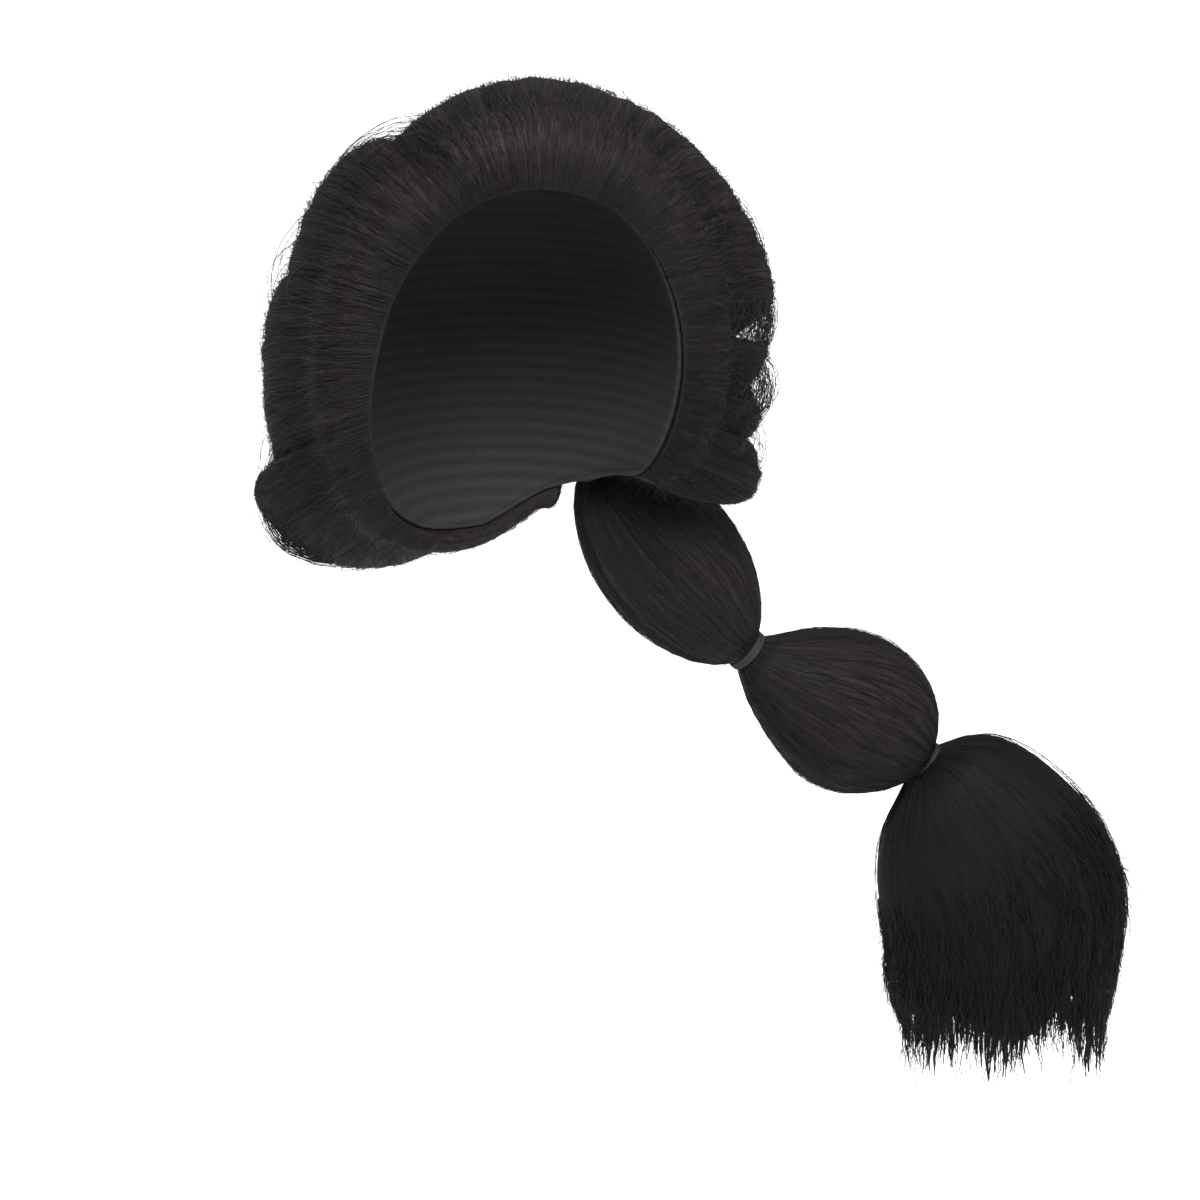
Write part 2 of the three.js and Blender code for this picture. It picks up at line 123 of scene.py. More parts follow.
def sweepLine(turn, share):
    angle = np.radians(turn)
    outward = upTurn * np.cos(angle)[..., None] + leftTurn * np.sin(angle)[..., None]
    rise = outward @ chordMiddle
    radius = np.hypot(halfChord, rise)
    hub = chordMiddle - outward * rise[..., None]
    end = np.arctan2(rise, halfChord)

    def arc(degrees):
        return 2 * np.arcsin(np.sin(np.radians(degrees) / 2) / radius)

    start = end + arc(readTable(sweep["hairline"], turn))
    stop = np.pi - end - arc(sweep["gatherRing"])
    at = mix(start, stop, share)
    place = (hub - alongChord * (radius * np.cos(at))[..., None]
             + outward * (radius * np.sin(at))[..., None])
    return place, (stop - start) * radius * headMean


# rolls from the nape round the wearer's right, over the top and down the left, as in the CAD
rolls = [
    {"node": "nape_roll", "start": -160, "groove": 0.006, "crest": (0.014, 0.016),
     "strands": 70, "locks": 4},
    {"node": "right_lower_puff", "start": -122, "groove": 0.010, "crest": (0.028, 0.077),
     "strands": 215, "locks": 5},
    {"node": "right_middle_roll", "start": -94, "groove": 0.042, "crest": (0.043, 0.039),
     "strands": 215, "locks": 5},
    {"node": "right_upper_roll", "start": -66, "groove": 0.032, "crest": (0.035, 0.033),
     "strands": 205, "locks": 4},
    {"node": "front_roll", "start": -39, "groove": 0.022, "crest": (0.021, 0.054),
     "strands": 470, "locks": 9},
    {"node": "left_upper_roll", "start": 31, "groove": 0.050, "crest": (0.054, 0.056),
     "strands": 185, "locks": 4},
    {"node": "left_middle_roll", "start": 56, "groove": 0.048, "crest": (0.060, 0.058),
     "strands": 175, "locks": 4},
    {"node": "left_lower_roll", "start": 84, "groove": 0.050, "crest": (0.070, 0.074),
     "strands": 175, "locks": 4},
]
lastEdge = {"start": 118, "groove": 0.012, "crest": (0.012, 0.012)}
edges = rolls + [lastEdge]

strandLook = {
    "radius": 0.00012, "sides": 3, "steps": 24, "kink": 0.0026, "kinkScale": 165.0,
    "sizes": (0.45, 1.55), "bunch": 1.7, "uneven": 0.0013, "lockDepth": 0.0009,
    "tufts": 7, "tuftLift": 0.0003, "tuftMiddle": (0.2, 0.6), "clump": 0.45,
    "wander": 2.2, "bends": 1.8, "slant": 4.5, "slantFrom": 0.3, "tone": (0.1, 0.7),
    "clumpPower": 0.7, "sunk": 0.55, "thin": (1.15, 0.5, 3), "kinks": (0.3, 1.5),
}
rollSeeds = {"draws": 100, "fuzz": 20, "kinks": 400, "wispKinks": 700}


# gaps where the hair lies lower than the rolls beside it
partings = (
    {"turn": 54.5, "width": 2.8, "depth": 0.028, "from": 0.10, "to": 0.78},
    {"turn": 68, "width": 7.0, "depth": 0.014, "from": 0.10, "to": 0.78},
    {"turn": -104, "width": 6.0, "depth": 0.0050, "from": 0.10, "to": 0.55},
)
partingEnds = {"first": 0.1, "last": 0.15}


def partingDepth(turn, share):
    depth = np.zeros_like(turn)
    for parting in partings:
        across = np.exp(-((turn - parting["turn"]) / parting["width"]) ** 2)
        opens = np.clip((share - parting["from"]) / partingEnds["first"], 0, 1)
        closes = np.clip((parting["to"] - share) / partingEnds["last"], 0, 1)
        depth = depth + parting["depth"] * across * (opens * closes)
    return depth


def rollHeight(roll, following, across, share, length):
    turn = mix(roll["start"], following["start"], across)
    along = share * length / readTable(sweep["wave"], turn, 2)
    groove = mix(roll["groove"], following["groove"], across)
    bulge = np.maximum(1 - (2 * across - 1) ** 2, 0) ** sweep["roundness"]
    crest = mix(groove, mix(roll["crest"][0], roll["crest"][1], across), bulge)
    wave = readTable(sweep["wave"], turn) * readTable(sweep["rise"], along)
    height = wave + crest * readTable(sweep["rise"], along, 2) * readTable(sweep["fall"], 1 - share)
    return np.maximum(height - partingDepth(turn, share), sweep["leastHeight"] * height)


# height of the whole head of hair at a turn, whichever roll it falls in
def hairTop(turn, share, length):
    height = np.zeros_like(turn)
    for roll, following in zip(edges[:-1], edges[1:]):
        inside = (turn >= roll["start"]) & (turn <= following["start"])
        across = np.clip((turn - roll["start"]) / (following["start"] - roll["start"]), 0, 1)
        height = np.where(inside, rollHeight(roll, following, across, share, length), height)
    return height


# ripples and stray hairs start small at the hairline
def awayFromHairline(along):
    return np.clip(along / sweep["smoothEdge"], sweep["smoothest"], 1)


# painted shade: the hair's colour is darkened where it turns under at the hairline and in the groove between
# the waves
def paintedShadeShare(turn, along):
    return readTable(sweep["lit"], along / readTable(sweep["wave"], turn, 2))


rippleLook = {"seed": 40, "waves": 5, "slowest": 0.4, "quicker": 0.35, "drift": 1.5, "calm": 3}


# soft uneven ridges where the strands lie together in locks
def lockRipple(roll, across, share):
    rng = np.random.default_rng(rippleLook["seed"] + roll["locks"])
    ripple = np.zeros_like(across)
    for k in range(rippleLook["waves"]):
        ridges = (rippleLook["slowest"] + rippleLook["quicker"] * k) * roll["locks"] * across
        ripple += np.sin(2 * np.pi * (ridges + rippleLook["drift"] * rng.random() * share + rng.random()))
    fade = np.sin(np.pi * np.clip(across, 0, 1)) ** 0.5
    return ripple / rippleLook["calm"] * strandLook["lockDepth"] * fade


# tail: places on its middle line, as in the CAD
tail = {
    "places": (
        (0.066, 0.070, -0.167), (0.106, 0.068, -0.219), (0.147, 0.060, -0.270),
        (0.200, 0.056, -0.304), (0.246, 0.052, -0.337),
    ),
    "flat": (0.31, 0.95, 0.0),
    "neck": 0.009, "tieWidth": 0.005, "gap": 0.0003,
}
tailPlaces = np.array(tail["places"])
napeTie, upperTie, lowerTie = 0, 2, 4
tailFlat = unit(tail["flat"])
rootPoint = overHead(gather[None, :], np.array([head["capWall"] + 2 * tail["gap"]]))[0]
tailKnots = np.vstack([rootPoint[None, :], tailPlaces])


# centripetal curve through the tail's places; station 0 is the root on the cap
def tailLine(station):
    station = np.atleast_1d(np.asarray(station, float))
    last = len(tailKnots) - 1
    before, after = 2 * tailKnots[0] - tailKnots[1], 2 * tailKnots[-1] - tailKnots[-2]
    padded = np.vstack([before, tailKnots, after])
    i = np.clip(np.floor(station).astype(int), 0, last - 1)
    p = [padded[i + k] for k in range(4)]
    d = [np.maximum(np.linalg.norm(p[k + 1] - p[k], axis=1) ** 0.5, 1e-6)[:, None] for k in range(3)]
    s = (station - i)[:, None]
    t1 = ((p[1] - p[0]) / d[0] - (p[2] - p[0]) / (d[0] + d[1]) + (p[2] - p[1]) / d[1]) * d[1]
    t2 = ((p[2] - p[1]) / d[1] - (p[3] - p[1]) / (d[1] + d[2]) + (p[3] - p[2]) / d[2]) * d[1]
    point = ((2 * s**3 - 3 * s**2 + 1) * p[1] + (s**3 - 2 * s**2 + s) * t1
             + (3 * s**2 - 2 * s**3) * p[2] + (s**3 - s**2) * t2)
    slope = ((6 * s**2 - 6 * s) * p[1] + (3 * s**2 - 4 * s + 1) * t1
             + (6 * s - 6 * s**2) * p[2] + (3 * s**2 - 2 * s) * t2)
    return point, unit(slope)


def tailAxes(direction):
    deep = unit(tailFlat - direction * (direction @ tailFlat)[..., None])
    return unit(np.cross(deep, direction)), deep


napeCentre, napeDirection = (a[0] for a in tailLine(1 + napeTie))

# materials


def newMaterial(name):
    material = bpy.data.materials.new(name)
    material.use_nodes = True
    return material, material.node_tree, material.node_tree.nodes["Principled BSDF"]


hairFinish = {
    "dark": (0.0012, 0.0011, 0.0011, 1), "light": (0.0150, 0.0124, 0.0118, 1),
    "strandRoughness": 0.5, "strandSpecular": 0.06, "massRoughness": 0.65, "massSpecular": 0.03,
    "bendDetail": 1.0, "streakDetail": 4.0, "noiseRoughness": 0.62,
}
# bent short streaks on the rolls, long smooth ones on the tail
plushFinish = {
    "streakScale": 900.0, "alongShare": 0.18, "streakRange": (0.28, 0.78),
    "bend": 0.0030, "bendScale": 110.0, "bumpStrength": 0.6, "bumpDepth": 0.0009, "tone": 1.0,
}
smoothFinish = {
    "streakScale": 800.0, "alongShare": 0.03, "streakRange": (0.15, 0.85),
    "bend": 0.0016, "bendScale": 50.0, "bumpStrength": 0.4, "bumpDepth": 0.0006, "tone": 0.55,
}


def glossOf(shader, kind):
    shader.inputs["Roughness"].default_value = hairFinish[kind + "Roughness"]
    shader.inputs["Specular IOR Level"].default_value = hairFinish[kind + "Specular"]


def toneRamp(tree, source):
    ramp = tree.nodes.new("ShaderNodeValToRGB")
    ramp.color_ramp.elements[0].color = hairFinish["dark"]
    ramp.color_ramp.elements[1].color = hairFinish["light"]
    tree.links.new(source, ramp.inputs["Fac"])
    return ramp.outputs["Color"]


# single strands: one drawn tone each, darkened along the roll strands by painted shade at the hairline and
# between the waves
def makeStrandMaterial():
    material, tree, shader = newMaterial("strandHair")
    tone = tree.nodes.new("ShaderNodeAttribute")
    tone.attribute_name = "tone"
    tree.links.new(toneRamp(tree, tone.outputs["Fac"]), shader.inputs["Base Color"])
    glossOf(shader, "strand")
    return material


# the combed mass under them: short bent streaks that run with the hair
def makeCombedMaterial(name, finish):
    material, tree, shader = newMaterial(name)

    def vectorNode(operation, first, second):
        node = tree.nodes.new("ShaderNodeVectorMath")
        node.operation = operation
        tree.links.new(first, node.inputs[0])
        node.inputs[1].default_value = second
        return node

    def noiseAt(vector, scale, detail):
        noise = tree.nodes.new("ShaderNodeTexNoise")
        noise.inputs["Scale"].default_value = scale
        noise.inputs["Detail"].default_value = detail
        noise.inputs["Roughness"].default_value = hairFinish["noiseRoughness"]
        tree.links.new(vector, noise.inputs["Vector"])
        return noise

    comb = tree.nodes.new("ShaderNodeAttribute")
    comb.attribute_name = "comb"
    swirl = noiseAt(comb.outputs["Vector"], finish["bendScale"], hairFinish["bendDetail"])
    centred = vectorNode("SUBTRACT", swirl.outputs["Color"], (0.5, 0.5, 0.5))
    size = finish["bend"]
    push = vectorNode("MULTIPLY", centred.outputs[0], (2 * size, 2 * size, 0.0))
    bent = tree.nodes.new("ShaderNodeVectorMath")
    tree.links.new(comb.outputs["Vector"], bent.inputs[0])
    tree.links.new(push.outputs[0], bent.inputs[1])
    stretched = vectorNode("MULTIPLY", bent.outputs[0], (1.0, 1.0, finish["alongShare"]))
    streak = noiseAt(stretched.outputs[0], finish["streakScale"], hairFinish["streakDetail"])
    spread = tree.nodes.new("ShaderNodeMapRange")
    low, high = finish["streakRange"]
    spread.inputs["From Min"].default_value = low
    spread.inputs["From Max"].default_value = high
    spread.inputs["To Max"].default_value = finish["tone"]
    tree.links.new(streak.outputs["Fac"], spread.inputs["Value"])
    # painted shade: the streaks' tone is dimmed at the hairline and between the waves on the rolls
    lit = tree.nodes.new("ShaderNodeAttribute")
    lit.attribute_name = "lit"
    shaded = tree.nodes.new("ShaderNodeMath")
    shaded.operation = "MULTIPLY"
    tree.links.new(spread.outputs["Result"], shaded.inputs[0])
    tree.links.new(lit.outputs["Fac"], shaded.inputs[1])
    tree.links.new(toneRamp(tree, shaded.outputs[0]), shader.inputs["Base Color"])
    bump = tree.nodes.new("ShaderNodeBump")
    bump.inputs["Strength"].default_value = finish["bumpStrength"]
    bump.inputs["Distance"].default_value = finish["bumpDepth"]
    tree.links.new(streak.outputs["Fac"], bump.inputs["Height"])
    tree.links.new(bump.outputs["Normal"], shader.inputs["Normal"])
    glossOf(shader, "mass")
    return material


clothFinish = {
    "colour": (0.0058, 0.0055, 0.0056, 1), "lightColour": (0.0085, 0.0080, 0.0082, 1),
    "roughness": 0.85, "specular": 0.1, "weaveScale": 900.0, "weaveDepth": 0.35, "weaveHeight": 0.0004,
    "rowScale": 48.0, "rowDepth": 0.07, "rowHeight": 0.0012, "rowWobble": 0.6, "rowDetail": 3.0,
}


# woven cloth; with a row scale it also has rows of sewn hair across it
def makeClothMaterial(name, finish):
    material, tree, shader = newMaterial(name)
    place = tree.nodes.new("ShaderNodeTexCoord")
    weave = tree.nodes.new("ShaderNodeTexVoronoi")
    weave.inputs["Scale"].default_value = finish["weaveScale"]
    bump = tree.nodes.new("ShaderNodeBump")
    bump.inputs["Strength"].default_value = finish["weaveDepth"]
    bump.inputs["Distance"].default_value = finish["weaveHeight"]
    tree.links.new(place.outputs["Object"], weave.inputs["Vector"])
    tree.links.new(weave.outputs["Distance"], bump.inputs["Height"])
    tree.links.new(bump.outputs["Normal"], shader.inputs["Normal"])
    pattern = weave.outputs["Distance"]
    if "rowScale" in finish:
        rows = tree.nodes.new("ShaderNodeTexWave")
        rows.bands_direction = "Z"
        rows.inputs["Scale"].default_value = finish["rowScale"]
        rows.inputs["Distortion"].default_value = finish["rowWobble"]
        rows.inputs["Detail Scale"].default_value = finish["rowDetail"]
        rowBump = tree.nodes.new("ShaderNodeBump")
        rowBump.inputs["Strength"].default_value = finish["rowDepth"]
        rowBump.inputs["Distance"].default_value = finish["rowHeight"]
        tree.links.new(place.outputs["Object"], rows.inputs["Vector"])
        tree.links.new(rows.outputs["Fac"], rowBump.inputs["Height"])
        tree.links.new(rowBump.outputs["Normal"], bump.inputs["Normal"])
        pattern = rows.outputs["Fac"]
    ramp = tree.nodes.new("ShaderNodeValToRGB")
    ramp.color_ramp.elements[0].color = finish["colour"]
    ramp.color_ramp.elements[1].color = finish["lightColour"]
    tree.links.new(pattern, ramp.inputs["Fac"])
    tree.links.new(ramp.outputs["Color"], shader.inputs["Base Color"])
    shader.inputs["Roughness"].default_value = finish["roughness"]
    shader.inputs["Specular IOR Level"].default_value = finish["specular"]
    return material


bandFinish = {
    "colour": (0.005, 0.005, 0.0055, 1), "lightColour": (0.011, 0.011, 0.012, 1),
    "roughness": 0.8, "specular": 0.1, "weaveScale": 1500.0, "weaveDepth": 0.4, "weaveHeight": 0.0004,
}
brushTone = 0.18
strandHair = makeStrandMaterial()
plushHair = makeCombedMaterial("plushHair", plushFinish)
smoothHair = makeCombedMaterial("smoothHair", smoothFinish)
brushHair = makeCombedMaterial("brushHair", dict(smoothFinish, tone=brushTone))
capCloth = makeClothMaterial("capCloth", clothFinish)
bandElastic = makeClothMaterial("bandElastic", bandFinish)
print("materials made")

# node trees for strands and loose hairs


def newTree(name, inputs):
    tree = bpy.data.node_groups.new(name, "GeometryNodeTree")
    tree.interface.new_socket("Geometry", in_out="INPUT", socket_type="NodeSocketGeometry")
    for label, kind in inputs.items():
        tree.interface.new_socket(label, in_out="INPUT", socket_type="NodeSocket" + kind)
    tree.interface.new_socket("Geometry", in_out="OUTPUT", socket_type="NodeSocketGeometry")
    return tree, tree.nodes.new("NodeGroupInput"), tree.nodes.new("NodeGroupOutput")


def addNode(tree, kind, links=(), **settings):
    node = tree.nodes.new(kind)
    for key, value in settings.items():
        setattr(node, key, value)
    for socket, source in dict(links).items():
        if isinstance(source, bpy.types.NodeSocket):
            tree.links.new(source, node.inputs[socket])
        else:
            node.inputs[socket].default_value = source
    return node


def namedAttribute(tree, name, kind):
    node = addNode(tree, "GeometryNodeInputNamedAttribute", {"Name": name}, data_type=kind)
    return node.outputs["Attribute"]


def mathNode(tree, operation, a, b):
    return addNode(tree, "ShaderNodeMath", {0: a, 1: b}, operation=operation).outputs[0]


def vectorMath(tree, operation, links):
    return addNode(tree, "ShaderNodeVectorMath", links, operation=operation).outputs[0]


# moves curve points by a smooth noise, so that hairs kink
def kinked(tree, curves, size, scale, seed, share):
    place = addNode(tree, "GeometryNodeInputPosition").outputs[0]
    noise = addNode(tree, "ShaderNodeTexNoise", {
        "Vector": place, "W": seed, "Scale": scale, "Detail": 1.0}, noise_dimensions="4D")
    centred = vectorMath(tree, "SUBTRACT", {0: noise.outputs["Color"], 1: (0.5, 0.5, 0.5)})
    amount = mathNode(tree, "MULTIPLY", mathNode(tree, "MULTIPLY", size, 2.0), share)
    offset = vectorMath(tree, "SCALE", {0: centred, "Scale": amount})
    return addNode(tree, "GeometryNodeSetPosition", {"Geometry": curves, "Offset": offset}).outputs[0]


def tubesOf(tree, curves, radius, sides, material):
    profile = addNode(tree, "GeometryNodeCurvePrimitiveCircle", {"Resolution": sides, "Radius": 1.0})
    tubes = addNode(tree, "GeometryNodeCurveToMesh", {
        "Curve": curves, "Profile Curve": profile.outputs[0], "Scale": radius,
        "Fill Caps": True}).outputs[0]
    smooth = addNode(tree, "GeometryNodeSetShadeSmooth", {"Geometry": tubes}).outputs[0]
    real = addNode(tree, "GeometryNodeRealizeInstances", {"Geometry": smooth}).outputs[0]
    return addNode(tree, "GeometryNodeSetMaterial", {"Geometry": real, "Material": material}).outputs[0]


# drawn lines become hair tubes
def makeStrandTree():
    tree, given, result = newTree("strandTubes", {
        "Sides": "Int", "Kink Size": "Float", "Kink Scale": "Float", "Seed": "Int", "Finish": "Material"})
    value = given.outputs
    lines = addNode(tree, "GeometryNodeMeshToCurve", {"Mesh": value["Geometry"]}).outputs[0]
    phase = mathNode(tree, "ADD", namedAttribute(tree, "phase", "FLOAT"), value["Seed"])
    loose = namedAttribute(tree, "loose", "FLOAT")
    bent = kinked(tree, lines, value["Kink Size"], value["Kink Scale"], phase, loose)
    thick = namedAttribute(tree, "thick", "FLOAT")
    tubes = tubesOf(tree, bent, thick, value["Sides"], value["Finish"])
    tree.links.new(tubes, result.inputs[0])
    return tree


# size and tone of a loose hair, from least to most, with the seed of each draw
looseHair = {"size": (0.35, 1.3, 7), "tone": (0.0, 0.9, 11), "bow": 0.25, "taper": 0.6, "sides": 3}


# short loose hairs stand off a surface, leaning the way its strands run
def makeFuzzTree():
    tree, given, result = newTree("looseHairs", {
        "Density": "Float", "Steps": "Int", "Length": "Float", "Radius": "Float", "Kink Size": "Float",
        "Kink Scale": "Float", "Spread": "Float", "Lift": "Float", "Seed": "Int", "Finish": "Material"})
    value = given.outputs

    def between(low, high, seed):
        links = {2: low, 3: high, "Seed": seed}
        return addNode(tree, "FunctionNodeRandomValue", links, data_type="FLOAT").outputs[1]

    def vectorOf(x, z):
        return addNode(tree, "ShaderNodeCombineXYZ", {"X": x, "Z": z}).outputs[0]

    outside = namedAttribute(tree, "outside", "FLOAT")
    chosen = addNode(tree, "FunctionNodeCompare", {0: outside, 1: 0.5},
                     data_type="FLOAT", operation="GREATER_THAN").outputs[0]
    scatter = addNode(tree, "GeometryNodeDistributePointsOnFaces", {
        "Mesh": value["Geometry"], "Selection": chosen, "Density": value["Density"], "Seed": value["Seed"]})
    flow = namedAttribute(tree, "flow", "FLOAT_VECTOR")
    along = addNode(tree, "FunctionNodeAlignRotationToVector", {"Vector": flow}, axis="Z").outputs[0]
    facing = addNode(tree, "FunctionNodeAlignRotationToVector", {
        "Rotation": along, "Vector": scatter.outputs["Normal"]}, axis="X", pivot_axis="Z").outputs[0]
    spin = between(mathNode(tree, "MULTIPLY", value["Spread"], -1.0), value["Spread"], value["Seed"])
    lean = addNode(tree, "FunctionNodeEulerToRotation", {"Euler": vectorOf(spin, spin)}).outputs[0]
    turned = addNode(tree, "FunctionNodeRotateRotation", {
        "Rotation": facing, "Rotate By": lean}, rotation_space="LOCAL").outputs[0]
    bow = vectorOf(mathNode(tree, "MULTIPLY", value["Lift"], looseHair["bow"]), 0.5)
    tip = vectorOf(value["Lift"], 1.0)
    hair = addNode(tree, "GeometryNodeCurveQuadraticBezier", {
        "Resolution": value["Steps"], "Start": (0, 0, 0), "Middle": bow, "End": tip}).outputs[0]
    size = mathNode(tree, "MULTIPLY", between(*looseHair["size"]), value["Length"])
    placed = addNode(tree, "GeometryNodeInstanceOnPoints", {
        "Points": scatter.outputs["Points"], "Instance": hair, "Rotation": turned, "Scale": size}).outputs[0]
    # each loose hair's tone is dimmed by the surface it grows on: painted shade at the hairline and between
    # the waves on the rolls, a darker tone on the brush
    lit = namedAttribute(tree, "lit", "FLOAT")
    shade = mathNode(tree, "MULTIPLY", between(*looseHair["tone"]), lit)
    toned = addNode(tree, "GeometryNodeStoreNamedAttribute", {
        "Geometry": placed, "Name": "tone", "Value": shade}, data_type="FLOAT", domain="INSTANCE").outputs[0]
    real = addNode(tree, "GeometryNodeRealizeInstances", {"Geometry": toned}).outputs[0]
    share = addNode(tree, "GeometryNodeSplineParameter").outputs["Factor"]
    bent = kinked(tree, real, value["Kink Size"], value["Kink Scale"], value["Seed"], share)
    taper = mathNode(tree, "SUBTRACT", 1.0, mathNode(tree, "MULTIPLY", share, looseHair["taper"]))
    radius = mathNode(tree, "MULTIPLY", taper, value["Radius"])
    tubes = tubesOf(tree, bent, radius, looseHair["sides"], value["Finish"])
    tree.links.new(tubes, result.inputs[0])
    return tree


strandTree = makeStrandTree()
fuzzTree = makeFuzzTree()


# runs a tree on a mesh and gives back a plain mesh
def runTree(mesh, tree, values):
    maker = bpy.data.objects.new("maker", mesh)
    bpy.context.scene.collection.objects.link(maker)
    modifier = maker.modifiers.new("tree", "NODES")
    modifier.node_group = tree
    sockets = {s.name: s.identifier for s in tree.interface.items_tree if s.in_out == "INPUT"}
    for label, value in values.items():
        modifier[sockets[label]] = value
    bpy.context.view_layer.update()
    evaluated = maker.evaluated_get(bpy.context.evaluated_depsgraph_get())
    made = bpy.data.meshes.new_from_object(evaluated)
    maker.modifiers.clear()
    bpy.data.objects.remove(maker)
    return made


def setAttribute(mesh, name, kind, values):
    layer = mesh.attributes.new(name, kind, "POINT")
    key = "vector" if kind == "FLOAT_VECTOR" else "value"
    layer.data.foreach_set(key, np.ascontiguousarray(values, np.float32).ravel())


phaseSpread = 3  # how differently the strands of one mesh kink


# lines is strands x points x 3; thick and loose are strands x points; tone is that or one a strand
def strandMesh(lines, thick, loose, tone, look, seed):
    strands, points = lines.shape[:2]
    phase = np.random.default_rng(seed).random(strands) * phaseSpread
    index = np.arange(strands * points).reshape(strands, points)
    steps = np.stack([index[:, :-1].ravel(), index[:, 1:].ravel()], 1)
    mesh = bpy.data.meshes.new("lines")
    mesh.vertices.add(strands * points)
    mesh.vertices.foreach_set("co", lines.astype(np.float32).ravel())
    mesh.edges.add(len(steps))
    mesh.edges.foreach_set("vertices", steps.astype(np.int32).ravel())
    setAttribute(mesh, "thick", "FLOAT", thick)
    setAttribute(mesh, "loose", "FLOAT", loose)
    setAttribute(mesh, "tone", "FLOAT", np.reshape(tone, (strands, -1)) * np.ones(points))
    setAttribute(mesh, "phase", "FLOAT", np.repeat(phase, points))
    mesh.update()
    made = runTree(mesh, strandTree, {
        "Sides": look["sides"], "Kink Size": look["kink"], "Kink Scale": look["kinkScale"],
        "Seed": seed, "Finish": strandHair})
    bpy.data.meshes.remove(mesh)
    return made


# smooth tubes along lines, in another material than hair
def plainTubes(lines, radius, sides, material, seed):
    shape = lines.shape[:2]
    look = {"sides": sides, "kink": 0.0, "kinkScale": 1.0}
    mesh = strandMesh(lines, np.full(shape, radius), np.zeros(shape), np.zeros(shape[0]), look, seed)
    mesh.materials.clear()
    mesh.materials.append(material)
    return mesh


# one number for each strand, between two limits
def drawn(rng, count, low, high):
    return mix(low, high, rng.random((count, 1)))


# full thickness at the root, less towards the tip
def thinned(share, root, loss, power):
    return np.minimum(root - loss * share**power, 1)


# a closed wall from an outer and an inner grid of points
def wallMesh(outer, inner, flow, comb, lit):
    rows, columns = outer.shape[:2]
    index = np.arange(rows * columns).reshape(rows, columns)
    under = index + rows * columns

    def quads(a, b, c, d):
        return np.stack([a.ravel(), b.ravel(), c.ravel(), d.ravel()], 1)

    faces = [
        quads(index[:-1, :-1], index[1:, :-1], index[1:, 1:], index[:-1, 1:]),
        quads(under[:-1, :-1], under[:-1, 1:], under[1:, 1:], under[1:, :-1]),
        quads(index[:-1, 0], under[:-1, 0], under[1:, 0], index[1:, 0]),
        quads(index[:-1, -1], index[1:, -1], under[1:, -1], under[:-1, -1]),
        quads(index[0, :-1], index[0, 1:], under[0, 1:], under[0, :-1]),
        quads(index[-1, :-1], under[-1, :-1], under[-1, 1:], index[-1, 1:]),
    ]
    points = np.vstack([outer.reshape(-1, 3), inner.reshape(-1, 3)])
    outside = np.repeat([1.0, 0.0], rows * columns)
    return shellMesh(points, np.vstack(faces).tolist(), np.vstack([flow.reshape(-1, 3)] * 2),
                     outside, np.vstack([comb.reshape(-1, 3)] * 2), plushHair, np.tile(lit.ravel(), 2))


# turns the faces of a closed mesh round if they point in
def outwards(points, faces):
    fans = [(f[0], f[k], f[k + 1]) for f in faces for k in range(1, len(f) - 1)]
    a, b, c = (points[list(corner)] for corner in zip(*fans))
    volume = (a * np.cross(b, c)).sum()
    return faces if volume > 0 else [f[::-1] for f in faces]


# flow is the way the hair runs, outside says where loose hairs may grow, comb places the streaks, and the
# last attribute dims them: painted shade at the hairline and between the waves, a darker tone on the brush's
# loose hairs
def shellMesh(points, faces, flow, outside, comb, material, lit):
    mesh = bpy.data.meshes.new("shell")
    mesh.from_pydata(points.tolist(), [], outwards(points, faces))
    setAttribute(mesh, "flow", "FLOAT_VECTOR", flow)
    setAttribute(mesh, "outside", "FLOAT", outside)
    setAttribute(mesh, "comb", "FLOAT_VECTOR", comb)
    setAttribute(mesh, "lit", "FLOAT", lit)
    mesh.materials.append(material)
    mesh.polygons.foreach_set("use_smooth", np.ones(len(mesh.polygons), bool))
    mesh.update()
    return mesh


# joins meshes into one piece that stands for CAD nodes
def finishPiece(name, meshes, nodes=()):
    objects = [bpy.data.objects.new(name, m) for m in meshes]
    for o in objects:
        bpy.context.scene.collection.objects.link(o)
    if len(objects) > 1:
        with bpy.context.temp_override(active_object=objects[0], selected_editable_objects=objects):
            bpy.ops.object.join()
    piece = objects[0]
    piece.name = name
    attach(piece, "root")
    if nodes:
        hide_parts(*nodes)
    triangles = sum(len(p.vertices) - 2 for p in piece.data.polygons)
    print(name, "made:", triangles, "triangles")
    return triangles


def pieceName(node):
    first, *rest = node.split("_")
    return first + "".join(w.capitalize() for w in rest) + "Hair"


# rolls


# the shell lies just under the strands, on a grid that is closer by the hairline
shellLook = {
    "under": 0.0008, "least": 0.0004, "columns": 52, "rowsInLock": 6, "bunch": 1.3,
    "combOut": 0.04, "combApart": 0.1,
}


def rollShell(roll, following):
    columns, rows = shellLook["columns"], shellLook["rowsInLock"] * roll["locks"] + 1
    across = np.linspace(0, 1, rows)[:, None] * np.ones(columns)
    share = (np.linspace(0, 1, columns) ** shellLook["bunch"])[None, :] * np.ones((rows, 1))
    turn = mix(roll["start"], following["start"], across)
    place, length = sweepLine(turn, share)
    height = rollHeight(roll, following, across, share, length)
    height = np.maximum(height - shellLook["under"], shellLook["least"])
    ripple = lockRipple(roll, across, share) * awayFromHairline(share * length)
    outer = overHead(place, hairFloor + height + ripple)
    inner = overHead(place, np.full_like(share, hairFloor))
    flow = unit(np.gradient(outer, axis=1))
    around = np.radians(turn) * (headMean + shellLook["combOut"])
    apart = np.full_like(turn, shellLook["combApart"] * roll["start"])
    comb = np.stack([around, apart, share * length], -1)
    # painted shade: the shell's streaks are darkened at the hairline and between the waves
    return wallMesh(outer, inner, flow, comb, paintedShadeShare(turn, share * length))


